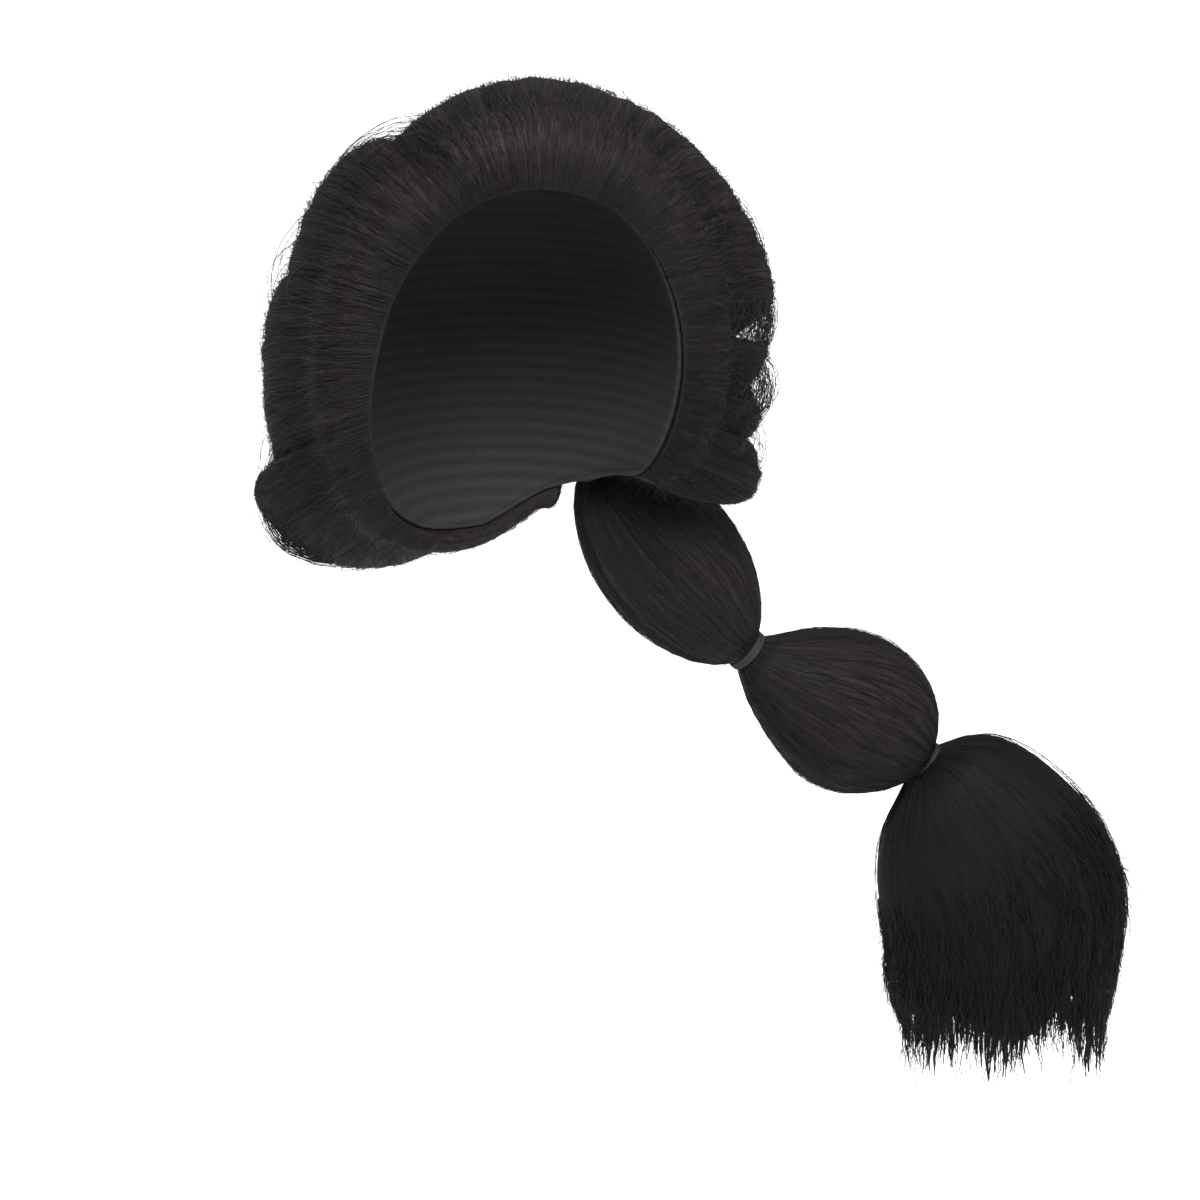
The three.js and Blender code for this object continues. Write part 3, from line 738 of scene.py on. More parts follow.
# shares of a strand's length, closer together by the hairline
def strandShares(count, steps):
    return (np.linspace(0, 1, steps) ** strandLook["bunch"])[None, :] * np.ones((count, 1))


strayLook = {"share": 0.12, "lift": 0.0035, "power": 1.5, "middle": (0.05, 0.75), "width": (0.05, 0.13)}


# a few strands stand off the rest in a low arch
def strayArch(share, rng):
    count = len(share)
    strays = rng.random((count, 1)) < strayLook["share"]
    middle = drawn(rng, count, *strayLook["middle"])
    width = drawn(rng, count, *strayLook["width"])
    lift = strayLook["lift"] * rng.random((count, 1)) ** strayLook["power"]
    return strays * lift * np.exp(-((share - middle) / width) ** 2)


napeLook = {"inside": (0.75, 0.95), "kneeShare": 0.55, "kneeLift": 0.003}


# runs each line on from the ring into the band at the nape
def intoNapeBand(line, rng):
    away = line[:, -1] - napeCentre
    radial = unit(away - napeDirection * (away @ napeDirection)[:, None])
    inside = tail["neck"] * drawn(rng, len(line), *napeLook["inside"])
    inBand = napeCentre - napeDirection * tail["tieWidth"] / 2 + radial * inside
    knee = mix(line[:, -1], inBand, napeLook["kneeShare"]) + radial * napeLook["kneeLift"]
    return np.concatenate([line, knee[:, None], inBand[:, None]], 1)


def rollStrands(roll, following, rng):
    count, steps = roll["strands"], strandLook["steps"]
    across = ((np.arange(count) + rng.random(count)) / count)[:, None] * np.ones(steps)
    share = strandShares(count, steps)
    tufts = roll["locks"] * strandLook["tufts"]
    tuft = np.floor(across[:, :1] * tufts).astype(int)
    least, more = strandLook["tuftMiddle"]
    middle = (tuft + least + more * rng.random(tufts)[tuft]) / tufts
    pulled = strandLook["clump"] * np.sin(np.pi * share) ** strandLook["clumpPower"] * rng.random((count, 1))
    across = mix(across, middle, pulled)
    waves = rng.random((count, 2))
    sway = np.sin(2 * np.pi * (waves[:, :1] * strandLook["bends"] * share + waves[:, 1:])) * share**0.5
    slant = strandLook["slant"] * rng.standard_normal((count, 1))
    slant = slant * np.clip(share / strandLook["slantFrom"], 0, 1) * (1 - share)
    turn = mix(roll["start"], following["start"], across) + strandLook["wander"] * sway + slant
    turn = np.clip(turn, edges[0]["start"], edges[-1]["start"])
    place, length = sweepLine(turn, share)
    uneven = strandLook["uneven"] * (rng.random((count, 1)) - strandLook["sunk"])
    height = hairTop(turn, share, length) + uneven
    rise = awayFromHairline(share * length)
    tuftLift = strandLook["tuftLift"] * rng.standard_normal(tufts)[tuft]
    lift = (lockRipple(roll, across, share) + tuftLift + strayArch(share, rng)) * rise
    line = overHead(place, hairFloor + height + lift)
    root = overHead(place[:, :1], np.full((count, 1), hairFloor))
    line = intoNapeBand(np.concatenate([root, line], 1), rng)
    # painted shade: each roll strand's tone is darkened at the hairline and between the waves; root, knee
    # and band take the nearest value
    lit = np.pad(paintedShadeShare(turn, share * length), ((0, 0), (1, 2)), "edge")  # root, knee and band
    along = np.linspace(0, 1, line.shape[1])[None, :]
    thick = strandLook["radius"] * drawn(rng, count, *strandLook["sizes"])
    thick = thick * thinned(along, *strandLook["thin"])
    loose = mix(*strandLook["kinks"], rng.random((count, 1)) ** 2) * np.sin(np.pi * along) ** 0.5
    tone = drawn(rng, count, *strandLook["tone"]) * lit
    return strandMesh(line, thick, loose, tone, strandLook, roll["start"] + rollSeeds["kinks"])


# wisps that lie across the rolls, from one turn to another at a share of the strand length
wispLook = {
    "steps": 16, "tuck": 0.006, "spread": 0.003, "fan": 3.0, "radius": 0.00014, "kink": 0.0022,
    "sizes": (0.5, 1.5), "skew": 0.05, "inward": 0.3, "limits": (0.04, 0.9),
    "tuckPower": 4, "kinks": (0.6, 1.6),
}
wisps = [
    {"node": "right_lower_puff", "turns": (-114, -93), "share": (0.21, 0.30), "bow": 0.0136, "strands": 120,
     "spread": 0.0034, "fan": 1.2, "kink": 0.0011},
    {"node": "right_middle_roll", "turns": (-98, -88), "share": (0.28, 0.40), "bow": 0.001, "strands": 8},
    {"node": "right_upper_roll", "turns": (-73, -59), "share": (0.15, 0.40), "bow": 0.004, "strands": 14},
    {"node": "front_roll", "turns": (-52, -33), "share": (0.20, 0.42), "bow": 0.003, "strands": 26},
    {"node": "left_upper_roll", "turns": (24, 40), "share": (0.15, 0.40), "bow": 0.002, "strands": 14},
    {"node": "left_middle_roll", "turns": (48, 62), "share": (0.22, 0.42), "bow": -0.004, "strands": 60,
     "spread": 0.009},
    {"node": "left_middle_roll", "turns": (48, 62), "share": (0.22, 0.42), "bow": -0.0005, "strands": 110,
     "spread": 0.005, "fan": 2.0},
    {"node": "left_middle_roll", "turns": (59, 79), "share": (0.24, 0.46), "bow": 0.001, "strands": 140,
     "spread": 0.011},
    {"node": "left_middle_roll", "turns": (47, 62), "share": (0.42, 0.64), "bow": 0.001, "strands": 70,
     "spread": 0.004},
    {"node": "left_middle_roll", "turns": (48, 61), "share": (0.11, 0.22), "bow": -0.001, "strands": 22,
     "spread": 0.004},
    {"node": "left_lower_roll", "turns": (77, 93), "share": (0.28, 0.46), "bow": 0.002, "strands": 24},
]


# a wisp's own settings go before the common ones
def wispStrands(wisp, rng):
    look = {**wispLook, **wisp}
    count, steps = look["strands"], look["steps"]
    way = np.linspace(0, 1, steps)[None, :]
    first = look["turns"][0] + look["fan"] * rng.standard_normal((count, 1))
    last = look["turns"][1] + look["fan"] * rng.standard_normal((count, 1))
    turn = mix(first, last, way)
    share = drawn(rng, count, *look["share"])
    share = np.clip(share + look["skew"] * (way - 0.5) * rng.standard_normal((count, 1)), *look["limits"])
    place, length = sweepLine(turn, share)
    top = hairTop(turn, share, length)
    straight = mix(top[:, :1], top[:, -1:], way)
    bow = (look["bow"] + look["spread"] * (rng.random((count, 1)) - look["inward"])) * np.sin(np.pi * way)
    ends = look["tuck"] * np.abs(2 * way - 1) ** look["tuckPower"]
    line = overHead(place, hairFloor + straight + bow - ends)
    thick = look["radius"] * drawn(rng, count, *look["sizes"]) * np.ones(steps)
    loose = drawn(rng, count, *look["kinks"]) * np.sin(np.pi * way)
    seed = rollSeeds["wispKinks"] + look["turns"][0]
    return strandMesh(line, thick, loose, rng.random(count), dict(strandLook, kink=look["kink"]), seed)


fuzzLook = {
    "perSquareMetre": 92000.0, "steps": 3, "length": 0.0085, "radius": 0.000075,
    "kink": 0.0038, "kinkScale": 220.0, "spread": 1.2, "lift": 0.36,
}


def fuzzOn(shell, look, seed):
    return runTree(shell, fuzzTree, {
        "Density": look["perSquareMetre"], "Steps": look["steps"], "Length": look["length"],
        "Radius": look["radius"], "Kink Size": look["kink"], "Kink Scale": look["kinkScale"],
        "Spread": look["spread"], "Lift": look["lift"], "Seed": seed, "Finish": strandHair})


total = 0
for number, roll in enumerate(rolls):
    following = edges[number + 1]
    rng = np.random.default_rng(rollSeeds["draws"] + number)
    shell = rollShell(roll, following)
    meshes = [shell, rollStrands(roll, following, rng), fuzzOn(shell, fuzzLook, rollSeeds["fuzz"] + number)]
    meshes += [wispStrands(wisp, rng) for wisp in wisps if wisp["node"] == roll["node"]]
    total += finishPiece(pieceName(roll["node"]), meshes, [roll["node"]])
print("rolls made:", total, "triangles")

# tail bubbles

bubbles = [
    {"node": "tail_upper_bubble", "from": napeTie, "to": upperTie, "halfWide": 0.038, "halfDeep": 0.036,
     "fullest": 0.52, "strands": 330, "steps": 17},
    {"node": "tail_lower_bubble", "from": upperTie, "to": lowerTie, "halfWide": 0.043, "halfDeep": 0.036,
     "fullest": 0.58, "strands": 330, "steps": 17},
]
bubbleLook = {
    "rings": 26, "sides": 56, "power": 0.62, "locks": 7, "lockDepth": 0.025, "twist": 0.35, "sway": 0.14,
    "shellShare": 0.985, "strandShare": (0.975, 1.005), "strayTimes": 10, "fuzz": 30000.0,
    "shellEnds": (0.001, 0.999), "strandEnds": (0.004, 0.996), "kinks": (0.3, 1.3),
    "tone": (0.08, 0.45), "drawSeed": 300, "kinkSeed": 310, "fuzzSeed": 320,
}


def bubbleLength(bubble):
    return np.linalg.norm(tailPlaces[bubble["to"]] - tailPlaces[bubble["from"]])


# points round a centre on a flattened ring
def ringPoints(centre, wide, deep, halfWide, halfDeep, angle):
    return (centre + wide * (halfWide * np.cos(angle))[..., None]
            - deep * (halfDeep * np.sin(angle))[..., None])


# streaks run along a piece of the tail and wrap round it
def combRound(turn, radius, along):
    return np.stack([np.cos(turn) * radius, np.sin(turn) * radius, along], -1)


def bubblePoints(bubble, angle, share, swell):
    neckShare = (tail["tieWidth"] / 2 + tail["gap"]) / bubbleLength(bubble)
    inside = np.clip((share - neckShare) / (1 - 2 * neckShare), 0, 1)
    bent = inside ** (math.log(0.5) / math.log(bubble["fullest"]))
    full = np.maximum(np.sin(np.pi * bent), 0) ** bubbleLook["power"]
    station = 1 + mix(bubble["from"], bubble["to"], share)
    centre, direction = tailLine(station.ravel())
    wide, deep = tailAxes(direction)
    shape = share.shape + (3,)
    centre, wide, deep = centre.reshape(shape), wide.reshape(shape), deep.reshape(shape)
    ridge = 1 + bubbleLook["lockDepth"] * np.cos(bubbleLook["locks"] * angle) * full
    halfWide = mix(tail["neck"], bubble["halfWide"], full) * ridge * swell
    halfDeep = mix(tail["neck"], bubble["halfDeep"], full) * ridge * swell
    return ringPoints(centre, wide, deep, halfWide, halfDeep, angle)


# rings of points closed into a solid, with a middle point at each end
def ringMesh(rings, comb, outside, material, lit=1.0):
    count, sides = rings.shape[:2]
    index = np.arange(count * sides).reshape(count, sides)
    after = np.roll(index, -1, axis=1)
    corners = (index[:-1], index[1:], after[1:], after[:-1])
    quads = np.stack([corner.ravel() for corner in corners], 1)
    points = np.vstack([rings.reshape(-1, 3), rings[0].mean(0), rings[-1].mean(0)])
    first, last = count * sides, count * sides + 1
    closing = [[first, index[0, k], after[0, k]] for k in range(sides)]
    closing += [[last, after[-1, k], index[-1, k]] for k in range(sides)]
    flow = unit(np.gradient(rings, axis=0)).reshape(-1, 3)
    flow = np.vstack([flow, flow[:1], flow[-1:]])
    comb = comb.reshape(-1, 3)
    comb = np.vstack([comb, comb[:1], comb[-1:]])
    outside = np.concatenate([outside.ravel(), [0, 0]])
    faces = quads.tolist() + closing
    return shellMesh(points, faces, flow, outside, comb, material, np.full(len(points), lit))


def bubbleShell(bubble):
    rows, sides = bubbleLook["rings"], bubbleLook["sides"]
    share = np.linspace(*bubbleLook["shellEnds"], rows)[:, None] * np.ones(sides)
    angle = np.linspace(0, 2 * np.pi, sides, endpoint=False)[None, :] * np.ones((rows, 1))
    rings = bubblePoints(bubble, angle, share, bubbleLook["shellShare"])
    turn = angle - bubbleLook["twist"] * share
    comb = combRound(turn, bubble["halfWide"], share * bubbleLength(bubble))
    return ringMesh(rings, comb, np.ones_like(share), smoothHair)


def bubbleStrands(bubble, rng, seed):
    count, steps = bubble["strands"], bubble["steps"]
    share = np.linspace(*bubbleLook["strandEnds"], steps)[None, :] * np.ones((count, 1))
    waves = rng.random((count, 2))
    sway = bubbleLook["sway"] * np.sin(2 * np.pi * (share * waves[:, :1] + waves[:, 1:]))
    turn = bubbleLook["twist"] * (share - 0.5) + sway
    angle = 2 * np.pi * ((np.arange(count) + rng.random(count)) / count)[:, None] + turn
    swell = drawn(rng, count, *bubbleLook["strandShare"]) + bubbleLook["strayTimes"] * strayArch(share, rng)
    line = bubblePoints(bubble, angle, share, swell)
    thick = strandLook["radius"] * drawn(rng, count, *strandLook["sizes"]) * np.ones(steps)
    loose = drawn(rng, count, *bubbleLook["kinks"]) * np.sin(np.pi * share)
    return strandMesh(line, thick, loose, drawn(rng, count, *bubbleLook["tone"]), strandLook, seed)


for number, bubble in enumerate(bubbles):
    rng = np.random.default_rng(bubbleLook["drawSeed"] + number)
    shell = bubbleShell(bubble)
    strands = bubbleStrands(bubble, rng, bubbleLook["kinkSeed"] + number)
    sparse = dict(fuzzLook, perSquareMetre=bubbleLook["fuzz"])
    fuzz = fuzzOn(shell, sparse, bubbleLook["fuzzSeed"] + number)
    total += finishPiece(pieceName(bubble["node"]), [shell, strands, fuzz], [bubble["node"]])

# brush end

brush = {
    "drop": (0.047, -0.002, -0.155), "startSlant": 46,
    "halfWide": (
        (0, 0.010), (0.04, 0.027), (0.1, 0.043), (0.22, 0.057),
        (0.4, 0.067), (0.6, 0.069), (0.8, 0.065), (1.0, 0.057),
    ),
    "halfDeep": (
        (0, 0.010), (0.04, 0.021), (0.1, 0.031), (0.22, 0.037),
        (0.4, 0.040), (0.6, 0.040), (0.8, 0.037), (1.0, 0.030),
    ),
    "aside": (
        (0, 0.0), (0.04, 0.003), (0.1, 0.005), (0.22, 0.011),
        (0.4, 0.019), (0.6, 0.020), (0.8, 0.012), (1.0, 0.004),
    ),
    # how far the tips reach past the end, by the place across the brush
    "tips": (
        (-1.0, 0.13), (-0.8, 0.19), (-0.6, 0.05), (-0.4, 0.0), (-0.2, 0.10), (0.1, 0.20),
        (0.3, 0.12), (0.45, 0.02), (0.6, 0.14), (0.75, 0.15), (1.0, -0.06),
    ),
    "rings": 30, "sides": 60, "bunch": 1.1, "firstRing": 0.005, "combRadius": 0.067,
    "shellReach": 0.97, "shellShare": 0.955, "tone": (0.0, 0.22),
}
# the end of the shell: size, number and shift of its small waves, and how it follows the tips
raggedLook = {
    "waves": ((0.05, 11, 0), (0.03, 23, 1)), "follow": 0.4, "power": 4, "drawnIn": 0.3, "closesAt": 1.002,
}
# long hairs from the band to the tips
longLook = {
    "hairs": 320, "steps": 20, "sides": 3, "deepest": 0.5, "tipShare": (0.4, 1.1), "shorter": 0.16,
    "deepFrom": 0.25, "swell": (0.97, 1.01), "sway": 0.10, "swayWaves": 0.6, "swayFrom": 0.5,
    "sizes": (0.5, 1.5), "thin": (1.1, 0.75, 2), "kinks": (0.4, 1.4), "kinkRise": 1.3, "kinkPower": 1.5,
    "kink": 0.0030, "kinkScale": 70.0, "drawSeed": 500, "kinkSeed": 510,
}
# dark cores of the locks at the end, in a fixed near-black tone as painted shade for the shaded inside of
# each lock
lockLook = {
    "locks": 150, "steps": 8, "sides": 5, "from": (0.48, 0.72), "depth": 0.95, "depthPower": 0.45,
    "tipShare": (0.75, 1.1), "reach": (1.01, 0.96), "pinch": 0.9, "fullFrom": 0.25, "taper": 2.5,
    "radius": 0.0016, "sizes": (0.7, 1.3), "tip": 0.0002, "tone": 0.02,
    "kink": 0.006, "kinkScale": 55.0, "drawSeed": 530, "kinkSeed": 540,
}
# loose hairs that run past the tips of the locks
tipLook = {
    "hairs": 950, "steps": 9, "sides": 3, "from": (0.60, 0.90), "past": (-0.06, 0.06), "fan": 0.20,
    "depth": 0.10, "depths": (0.02, 1.0), "closing": 0.35, "sizes": (0.5, 1.3), "thin": (1, 0.7, 1),
    "kinks": (0.4, 1.4), "kink": 0.0100, "kinkScale": 135.0, "kinkSeed": 550,
}
# kinky outer hairs that break the surface of the lower half
shagLook = {
    "hairs": 1700, "steps": 7, "from": (0.30, 0.95), "length": (0.16, 0.34), "lift": 0.07, "fan": 0.16,
    "swell": 0.965, "closing": 0.1, "closesFrom": 0.9, "sizes": (0.5, 1.3), "thin": (1, 0.85, 1.5),
    "kinks": (0.4, 1.4), "kinkPower": 0.7,
    "radius": 0.00036, "sides": 3, "kink": 0.0058, "kinkScale": 115.0, "drawSeed": 565, "kinkSeed": 570,
}
# the loose hairs on the brush have their tone scaled down to a fifth, to match the brush's darker hair
frizzLook = {
    "perSquareMetre": 30000.0, "steps": 3, "length": 0.016, "radius": 0.00013,
    "kink": 0.0070, "kinkScale": 150.0, "spread": 0.9, "lift": 0.8, "lit": 0.2,
    "reach": 1.0, "swell": 0.99, "from": 0.25, "seed": 560,
}
brushSide = unit(np.cross(tailFlat, [0, 0, 1.0]))
brushTop = tailPlaces[lowerTie]
brushDrop = np.array(brush["drop"])
brushLength = abs(brush["drop"][2])
straightDown = np.array([0, 0, -1.0])


def brushPoints(angle, down, swell):
    inside = np.clip(down, 0, 1)
    slant = np.radians(brush["startSlant"]) * (1 - inside)
    direction = np.stack([brushSide[0] * np.sin(slant), brushSide[1] * np.sin(slant), -np.cos(slant)], -1)
    wide, deep = tailAxes(direction)
    beyond = np.maximum(down - 1, 0)
    aside = brushSide * readTable(brush["aside"], inside)[..., None]
    below = straightDown * (beyond * brushLength)[..., None]
    centre = brushTop + brushDrop * inside[..., None] + aside + below
    halfWide = readTable(brush["halfWide"], inside) * swell
    halfDeep = readTable(brush["halfDeep"], inside) * swell
    return ringPoints(centre, wide, deep, halfWide, halfDeep, angle)


# rings round the brush; a ragged one follows the tips and is drawn in over its last stretch
def brushSurface(reach, swell, ragged, growsFrom=0.0, lit=1.0):
    rows, sides = brush["rings"], brush["sides"]
    angle = np.linspace(0, 2 * np.pi, sides, endpoint=False)[None, :] * np.ones((rows, 1))
    share = (np.linspace(brush["firstRing"], 1, rows) ** brush["bunch"])[:, None] * np.ones(sides)
    down = share * reach
    drawnIn = 1.0
    if ragged:
        tips = readTable(brush["tips"], np.cos(angle))
        for size, count, shift in raggedLook["waves"]:
            tips = tips + size * np.sin(count * angle + shift)
        down = down + raggedLook["follow"] * tips * share ** raggedLook["power"]
        drawnIn = np.clip((raggedLook["closesAt"] - share) / raggedLook["drawnIn"], 0, 1) ** 0.5
    rings = brushPoints(angle, down, swell * drawnIn)
    comb = combRound(angle, brush["combRadius"], share * brushLength)
    return ringMesh(rings, comb, (share > growsFrom).astype(float), brushHair, lit)


# how far the tips reach past the end, at an angle and a depth in the brush
def tipReach(angle, depth):
    return readTable(brush["tips"], np.cos(angle) * depth)


def brushStrands(rng):
    look = longLook
    count, steps = look["hairs"], look["steps"]
    angle = 2 * np.pi * ((np.arange(count) + rng.random(count)) / count)[:, None]
    depth = 1 - look["deepest"] * rng.random((count, 1)) ** 2
    past = tipReach(angle, depth) * drawn(rng, count, *look["tipShare"])
    reach = 1.0 + past - look["shorter"] * rng.random((count, 1)) ** 2
    share = (np.linspace(0, 1, steps) ** brush["bunch"])[None, :]
    down = share * reach
    pull = mix(1.0, depth, np.clip(down / look["deepFrom"], 0, 1)) * drawn(rng, count, *look["swell"])
    waves = rng.random((count, 2))
    sway = np.sin(2 * np.pi * (down * (look["swayWaves"] + waves[:, :1]) + waves[:, 1:]))
    sway = look["sway"] * sway * np.clip(down / look["swayFrom"], 0, 1)
    line = brushPoints(angle + sway, down, pull)
    thick = strandLook["radius"] * drawn(rng, count, *look["sizes"]) * thinned(share, *look["thin"])
    kinky = np.clip(share * look["kinkRise"], 0, 1) ** look["kinkPower"]
    loose = drawn(rng, count, *look["kinks"]) * kinky
    return strandMesh(line, thick, loose, drawn(rng, count, *brush["tone"]), look, look["kinkSeed"])


# the end hangs in pointed locks, each a near-black core, painted shade for the lock's inside, with loose
# hairs that run past its tip
def brushLocks(rng):
    look = lockLook
    locks = look["locks"]
    angle = 2 * np.pi * rng.random((locks, 1))
    depth = look["depth"] * rng.random((locks, 1)) ** look["depthPower"]
    past = tipReach(angle, depth) * drawn(rng, locks, *look["tipShare"])
    reach = past + drawn(rng, locks, *look["reach"])
    share = np.linspace(0, 1, look["steps"])[None, :] * np.ones((locks, 1))
    start = drawn(rng, locks, *look["from"])
    line = brushPoints(angle + 0 * share, mix(start, reach, share), depth * mix(look["pinch"], 1, share))
    full = np.clip(share / look["fullFrom"], 0, 1) * np.clip(1 - share ** look["taper"], 0, 1)
    thick = mix(look["tip"], look["radius"] * drawn(rng, locks, *look["sizes"]), full)
    cores = strandMesh(line, thick, share, np.full(locks, look["tone"]), look, look["kinkSeed"])
    own = rng.integers(locks, size=tipLook["hairs"])
    return [cores, lockHairs(angle[own], depth[own], reach[own], rng)]


def lockHairs(angle, depth, reach, rng):
    look = tipLook
    hairs = look["hairs"]
    share = np.linspace(0, 1, look["steps"])[None, :] * np.ones((hairs, 1))
    spread = 1 - look["closing"] * share
    angle = angle + look["fan"] * rng.standard_normal((hairs, 1)) * spread
    depth = np.clip(depth + look["depth"] * rng.standard_normal((hairs, 1)) * spread, *look["depths"])
    start = drawn(rng, hairs, *look["from"])
    end = reach + drawn(rng, hairs, *look["past"])
    line = brushPoints(angle, mix(start, end, share), depth)
    thick = strandLook["radius"] * drawn(rng, hairs, *look["sizes"]) * thinned(share, *look["thin"])
    loose = drawn(rng, hairs, *look["kinks"]) * share
    return strandMesh(line, thick, loose, drawn(rng, hairs, *brush["tone"]), look, look["kinkSeed"])


def brushShag(rng):
    look = shagLook
    hairs = look["hairs"]
    share = np.linspace(0, 1, look["steps"])[None, :] * np.ones((hairs, 1))
    angle = 2 * np.pi * rng.random((hairs, 1)) + look["fan"] * share * rng.standard_normal((hairs, 1))
    start = drawn(rng, hairs, *look["from"])
    down = start + drawn(rng, hairs, *look["length"]) * share
    lift = look["lift"] * rng.random((hairs, 1)) ** 2 * share
    closing = look["closing"] * np.maximum(down - look["closesFrom"], 0)
    line = brushPoints(angle, down, look["swell"] + lift - closing)
    thick = look["radius"] * drawn(rng, hairs, *look["sizes"]) * thinned(share, *look["thin"])
    loose = drawn(rng, hairs, *look["kinks"]) * share ** look["kinkPower"]
    return strandMesh(line, thick, loose, drawn(rng, hairs, *brush["tone"]), look, look["kinkSeed"])


# the loose hairs grow on a surface of their own, which is not kept
frizzSurface = brushSurface(frizzLook["reach"], frizzLook["swell"], False,
                            growsFrom=frizzLook["from"], lit=frizzLook["lit"])
meshes = [brushSurface(brush["shellReach"], brush["shellShare"], True)]
meshes.append(brushStrands(np.random.default_rng(longLook["drawSeed"])))
meshes += brushLocks(np.random.default_rng(lockLook["drawSeed"]))
meshes.append(brushShag(np.random.default_rng(shagLook["drawSeed"])))
meshes.append(fuzzOn(frizzSurface, frizzLook, frizzLook["seed"]))
bpy.data.meshes.remove(frizzSurface)
total += finishPiece("tailBrushHair", meshes, ["tail_brush"])

# elastic bands: three turns of cord side by side

band = {"turns": 3, "cordRadius": 0.00125, "points": 40, "sides": 8, "seed": 600}


def bandMesh(tie, seed):
    centre, direction = (a[0] for a in tailLine(1 + tie))
    wide, deep = (a[0] for a in tailAxes(direction[None, :]))
    angle = np.linspace(0, 2 * np.pi, band["points"] + 1)
    radius = tail["neck"] + tail["gap"] + band["cordRadius"]
    spacing = (tail["tieWidth"] - 2 * band["cordRadius"]) / (band["turns"] - 1)
    ring = radius * (np.cos(angle)[:, None] * wide + np.sin(angle)[:, None] * deep)
    lines = []
    for turn in range(band["turns"]):
        away = -tail["tieWidth"] / 2 + band["cordRadius"] + turn * spacing
        lines.append(centre + direction * away + ring)
    return plainTubes(np.array(lines), band["cordRadius"], band["sides"], bandElastic, seed)


ties = (
    (napeTie, "nape_tie", "napeBand"),
    (upperTie, "upper_tie", "upperBand"),
    (lowerTie, "lower_tie", "lowerBand"),
)
for tie, node, name in ties:
    total += finishPiece(name, [bandMesh(tie, band["seed"] + tie)], [node])

# cap: a thin wall of net cloth, drawn outwards from the back of the crown, with a bound edge
cap = {
    "crown": (0, 0.5, 0.866), "stepsRound": 96, "stepsDown": 26, "firstStep": 0.02,
    "binding": 0.0013, "bindingSides": 8, "seed": 800,
    "edge": (
        (-180, 119), (-152, 110), (-126, 113), (-103, 119), (-79, 104), (-51, 78.5), (-28, 64.5),
        (0, 58.5), (34, 62.5), (54, 73), (82, 98.5), (111, 117), (142, 122), (180, 119),
    ),
}
capCrown = unit(cap["crown"])
capFront = unit(faceCentre - capCrown * (capCrown @ faceCentre))
capRight = np.array([-1.0, 0.0, 0.0])


def capPlace(around, share):
    reach = np.radians(readTable(cap["edge"], around)) * share
    angle = np.radians(around)
    outward = capFront * np.cos(angle)[..., None] + capRight * np.sin(angle)[..., None]
    return capCrown * np.cos(reach)[..., None] + outward * np.sin(reach)[..., None]


def capMeshes():
    around = np.linspace(-180, 180, cap["stepsRound"], endpoint=False)
    share = np.linspace(cap["firstStep"], 1, cap["stepsDown"])
    down = np.concatenate([share, share[::-1]])
    lift = np.repeat([head["capWall"], 0.0], len(share))
    place = capPlace(around[None, :] * np.ones((len(down), 1)), down[:, None] * np.ones(len(around)))
    rings = overHead(place, lift[:, None] * np.ones(len(around)))
    wall = ringMesh(rings, np.zeros(rings.shape), np.zeros(rings.shape[:2]), capCloth)
    loop = np.append(around, around[:1])
    rim = overHead(capPlace(loop, np.ones_like(loop)), np.full(len(loop), head["capWall"] / 2))
    return [wall, plainTubes(rim[None], cap["binding"], cap["bindingSides"], capCloth, cap["seed"])]


total += finishPiece("capNet", capMeshes(), ["cap"])
print("all pieces made:", total, "triangles")

# floor, light and camera

studio = {
    "floor": -0.80, "floorSize": 400.0, "colour": (0.92, 0.92, 0.92, 1), "roughness": 0.9, "specular": 0.1,
    "skyColour": (1, 1, 1, 1), "sky": 0.72, "lightTarget": (0.1, 0.0, -0.2),
}


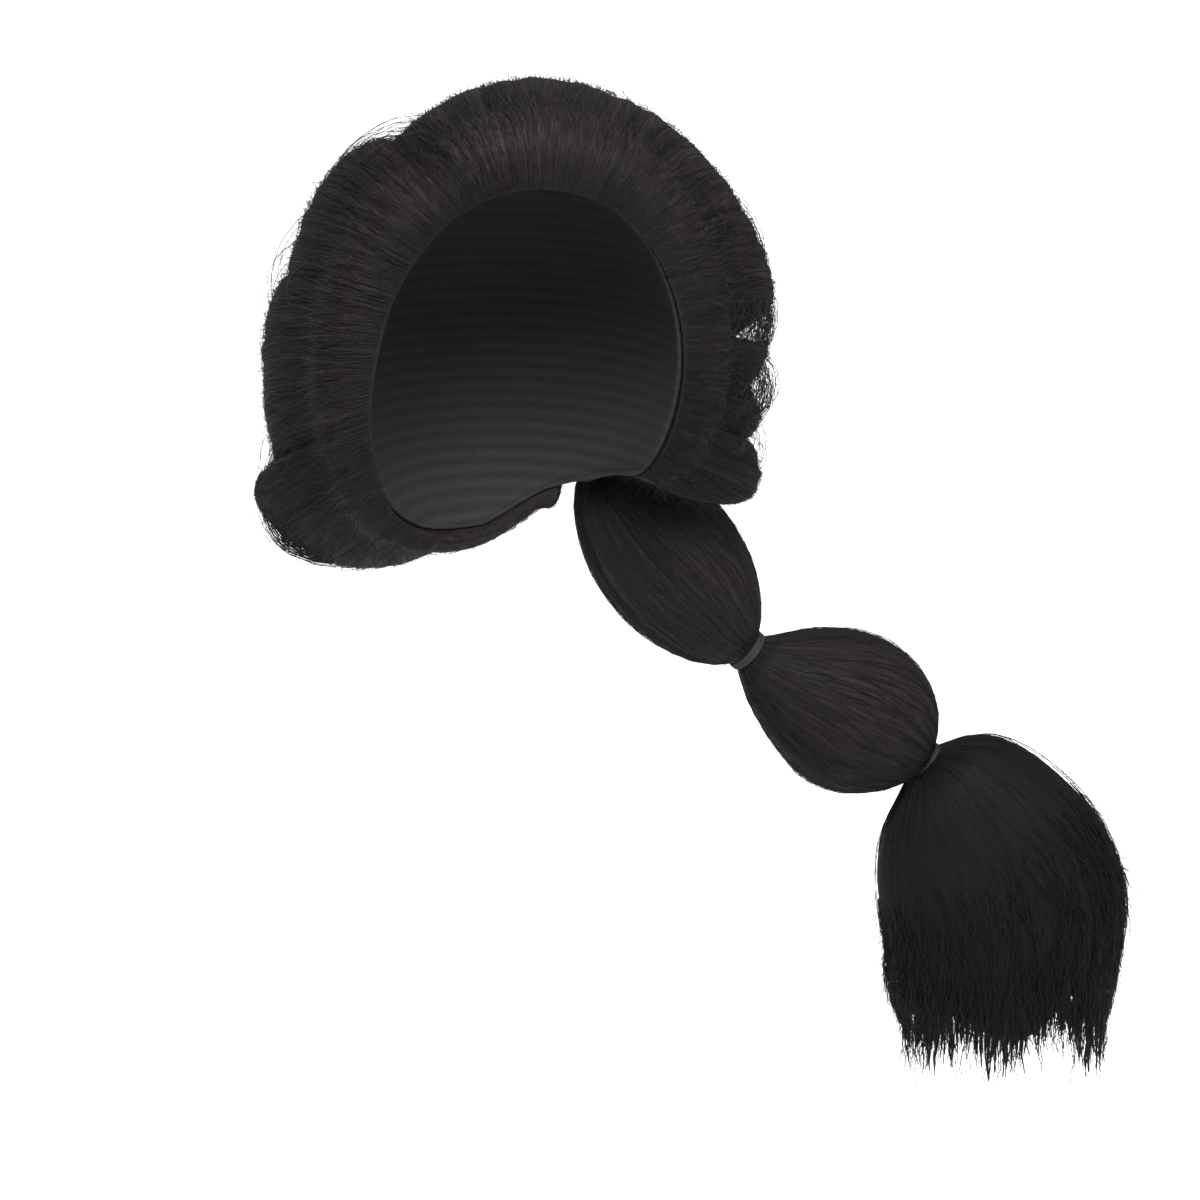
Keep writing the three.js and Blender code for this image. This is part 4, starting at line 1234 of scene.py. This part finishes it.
def makeStudio():
    bpy.ops.mesh.primitive_plane_add(size=studio["floorSize"], location=(0, 0, studio["floor"]))
    floor = bpy.context.object
    floor.name = "floor"
    material, _, shader = newMaterial("paleFloor")
    shader.inputs["Base Color"].default_value = studio["colour"]
    shader.inputs["Roughness"].default_value = studio["roughness"]
    shader.inputs["Specular IOR Level"].default_value = studio["specular"]
    floor.data.materials.append(material)
    world = bpy.data.worlds.new("softStudio")
    world.use_nodes = True
    sky = world.node_tree.nodes["Background"]
    sky.inputs["Color"].default_value = studio["skyColour"]
    sky.inputs["Strength"].default_value = studio["sky"]
    bpy.context.scene.world = world


# a wide soft sun keeps the floor evenly pale; the panels pick out the crests of the hair
lights = (
    {"name": "softSun", "kind": "SUN", "place": (-0.4, -1.15, 1.5), "power": 3.8, "angle": 30},
    {"name": "topPanel", "kind": "AREA", "place": (-0.25, -1.1, 0.88), "power": 80, "size": 0.6},
    {"name": "leftPanel", "kind": "AREA", "place": (-1.6, -1.3, 0.5), "power": 8, "size": 1.2},
    {"name": "rightPanel", "kind": "AREA", "place": (1.4, -1.4, 0.4), "power": 38, "size": 1.2},
)


def makeLights():
    target = Vector(studio["lightTarget"])
    for light in lights:
        data = bpy.data.lights.new(light["name"], light["kind"])
        data.energy = light["power"]
        if light["kind"] == "SUN":
            data.angle = math.radians(light["angle"])
        else:
            data.size = light["size"]
        lamp = bpy.data.objects.new(light["name"], data)
        lamp.location = light["place"]
        lamp.rotation_euler = (target - lamp.location).to_track_quat("-Z", "Y").to_euler()
        bpy.context.scene.collection.objects.link(lamp)


view = {
    "azimuth": -19.52, "elevation": 13.08, "place": (-0.48834, -1.50296, 0.14830),
    "lens": 99.84, "sensor": 36.0,
}


def makeCamera():
    data = bpy.data.cameras.new("photoView")
    data.lens = view["lens"]
    data.sensor_width = view["sensor"]
    camera = bpy.data.objects.new("photoView", data)
    a, e = math.radians(view["azimuth"]), math.radians(view["elevation"])
    back = Vector((math.sin(a) * math.cos(e), -math.cos(a) * math.cos(e), math.sin(e)))
    camera.location = view["place"]
    camera.rotation_euler = (-back).to_track_quat("-Z", "Y").to_euler()
    bpy.context.scene.collection.objects.link(camera)
    bpy.context.scene.camera = camera


makeStudio()
makeLights()
makeCamera()
bpy.context.scene.view_settings.view_transform = "Standard"
print("studio made")
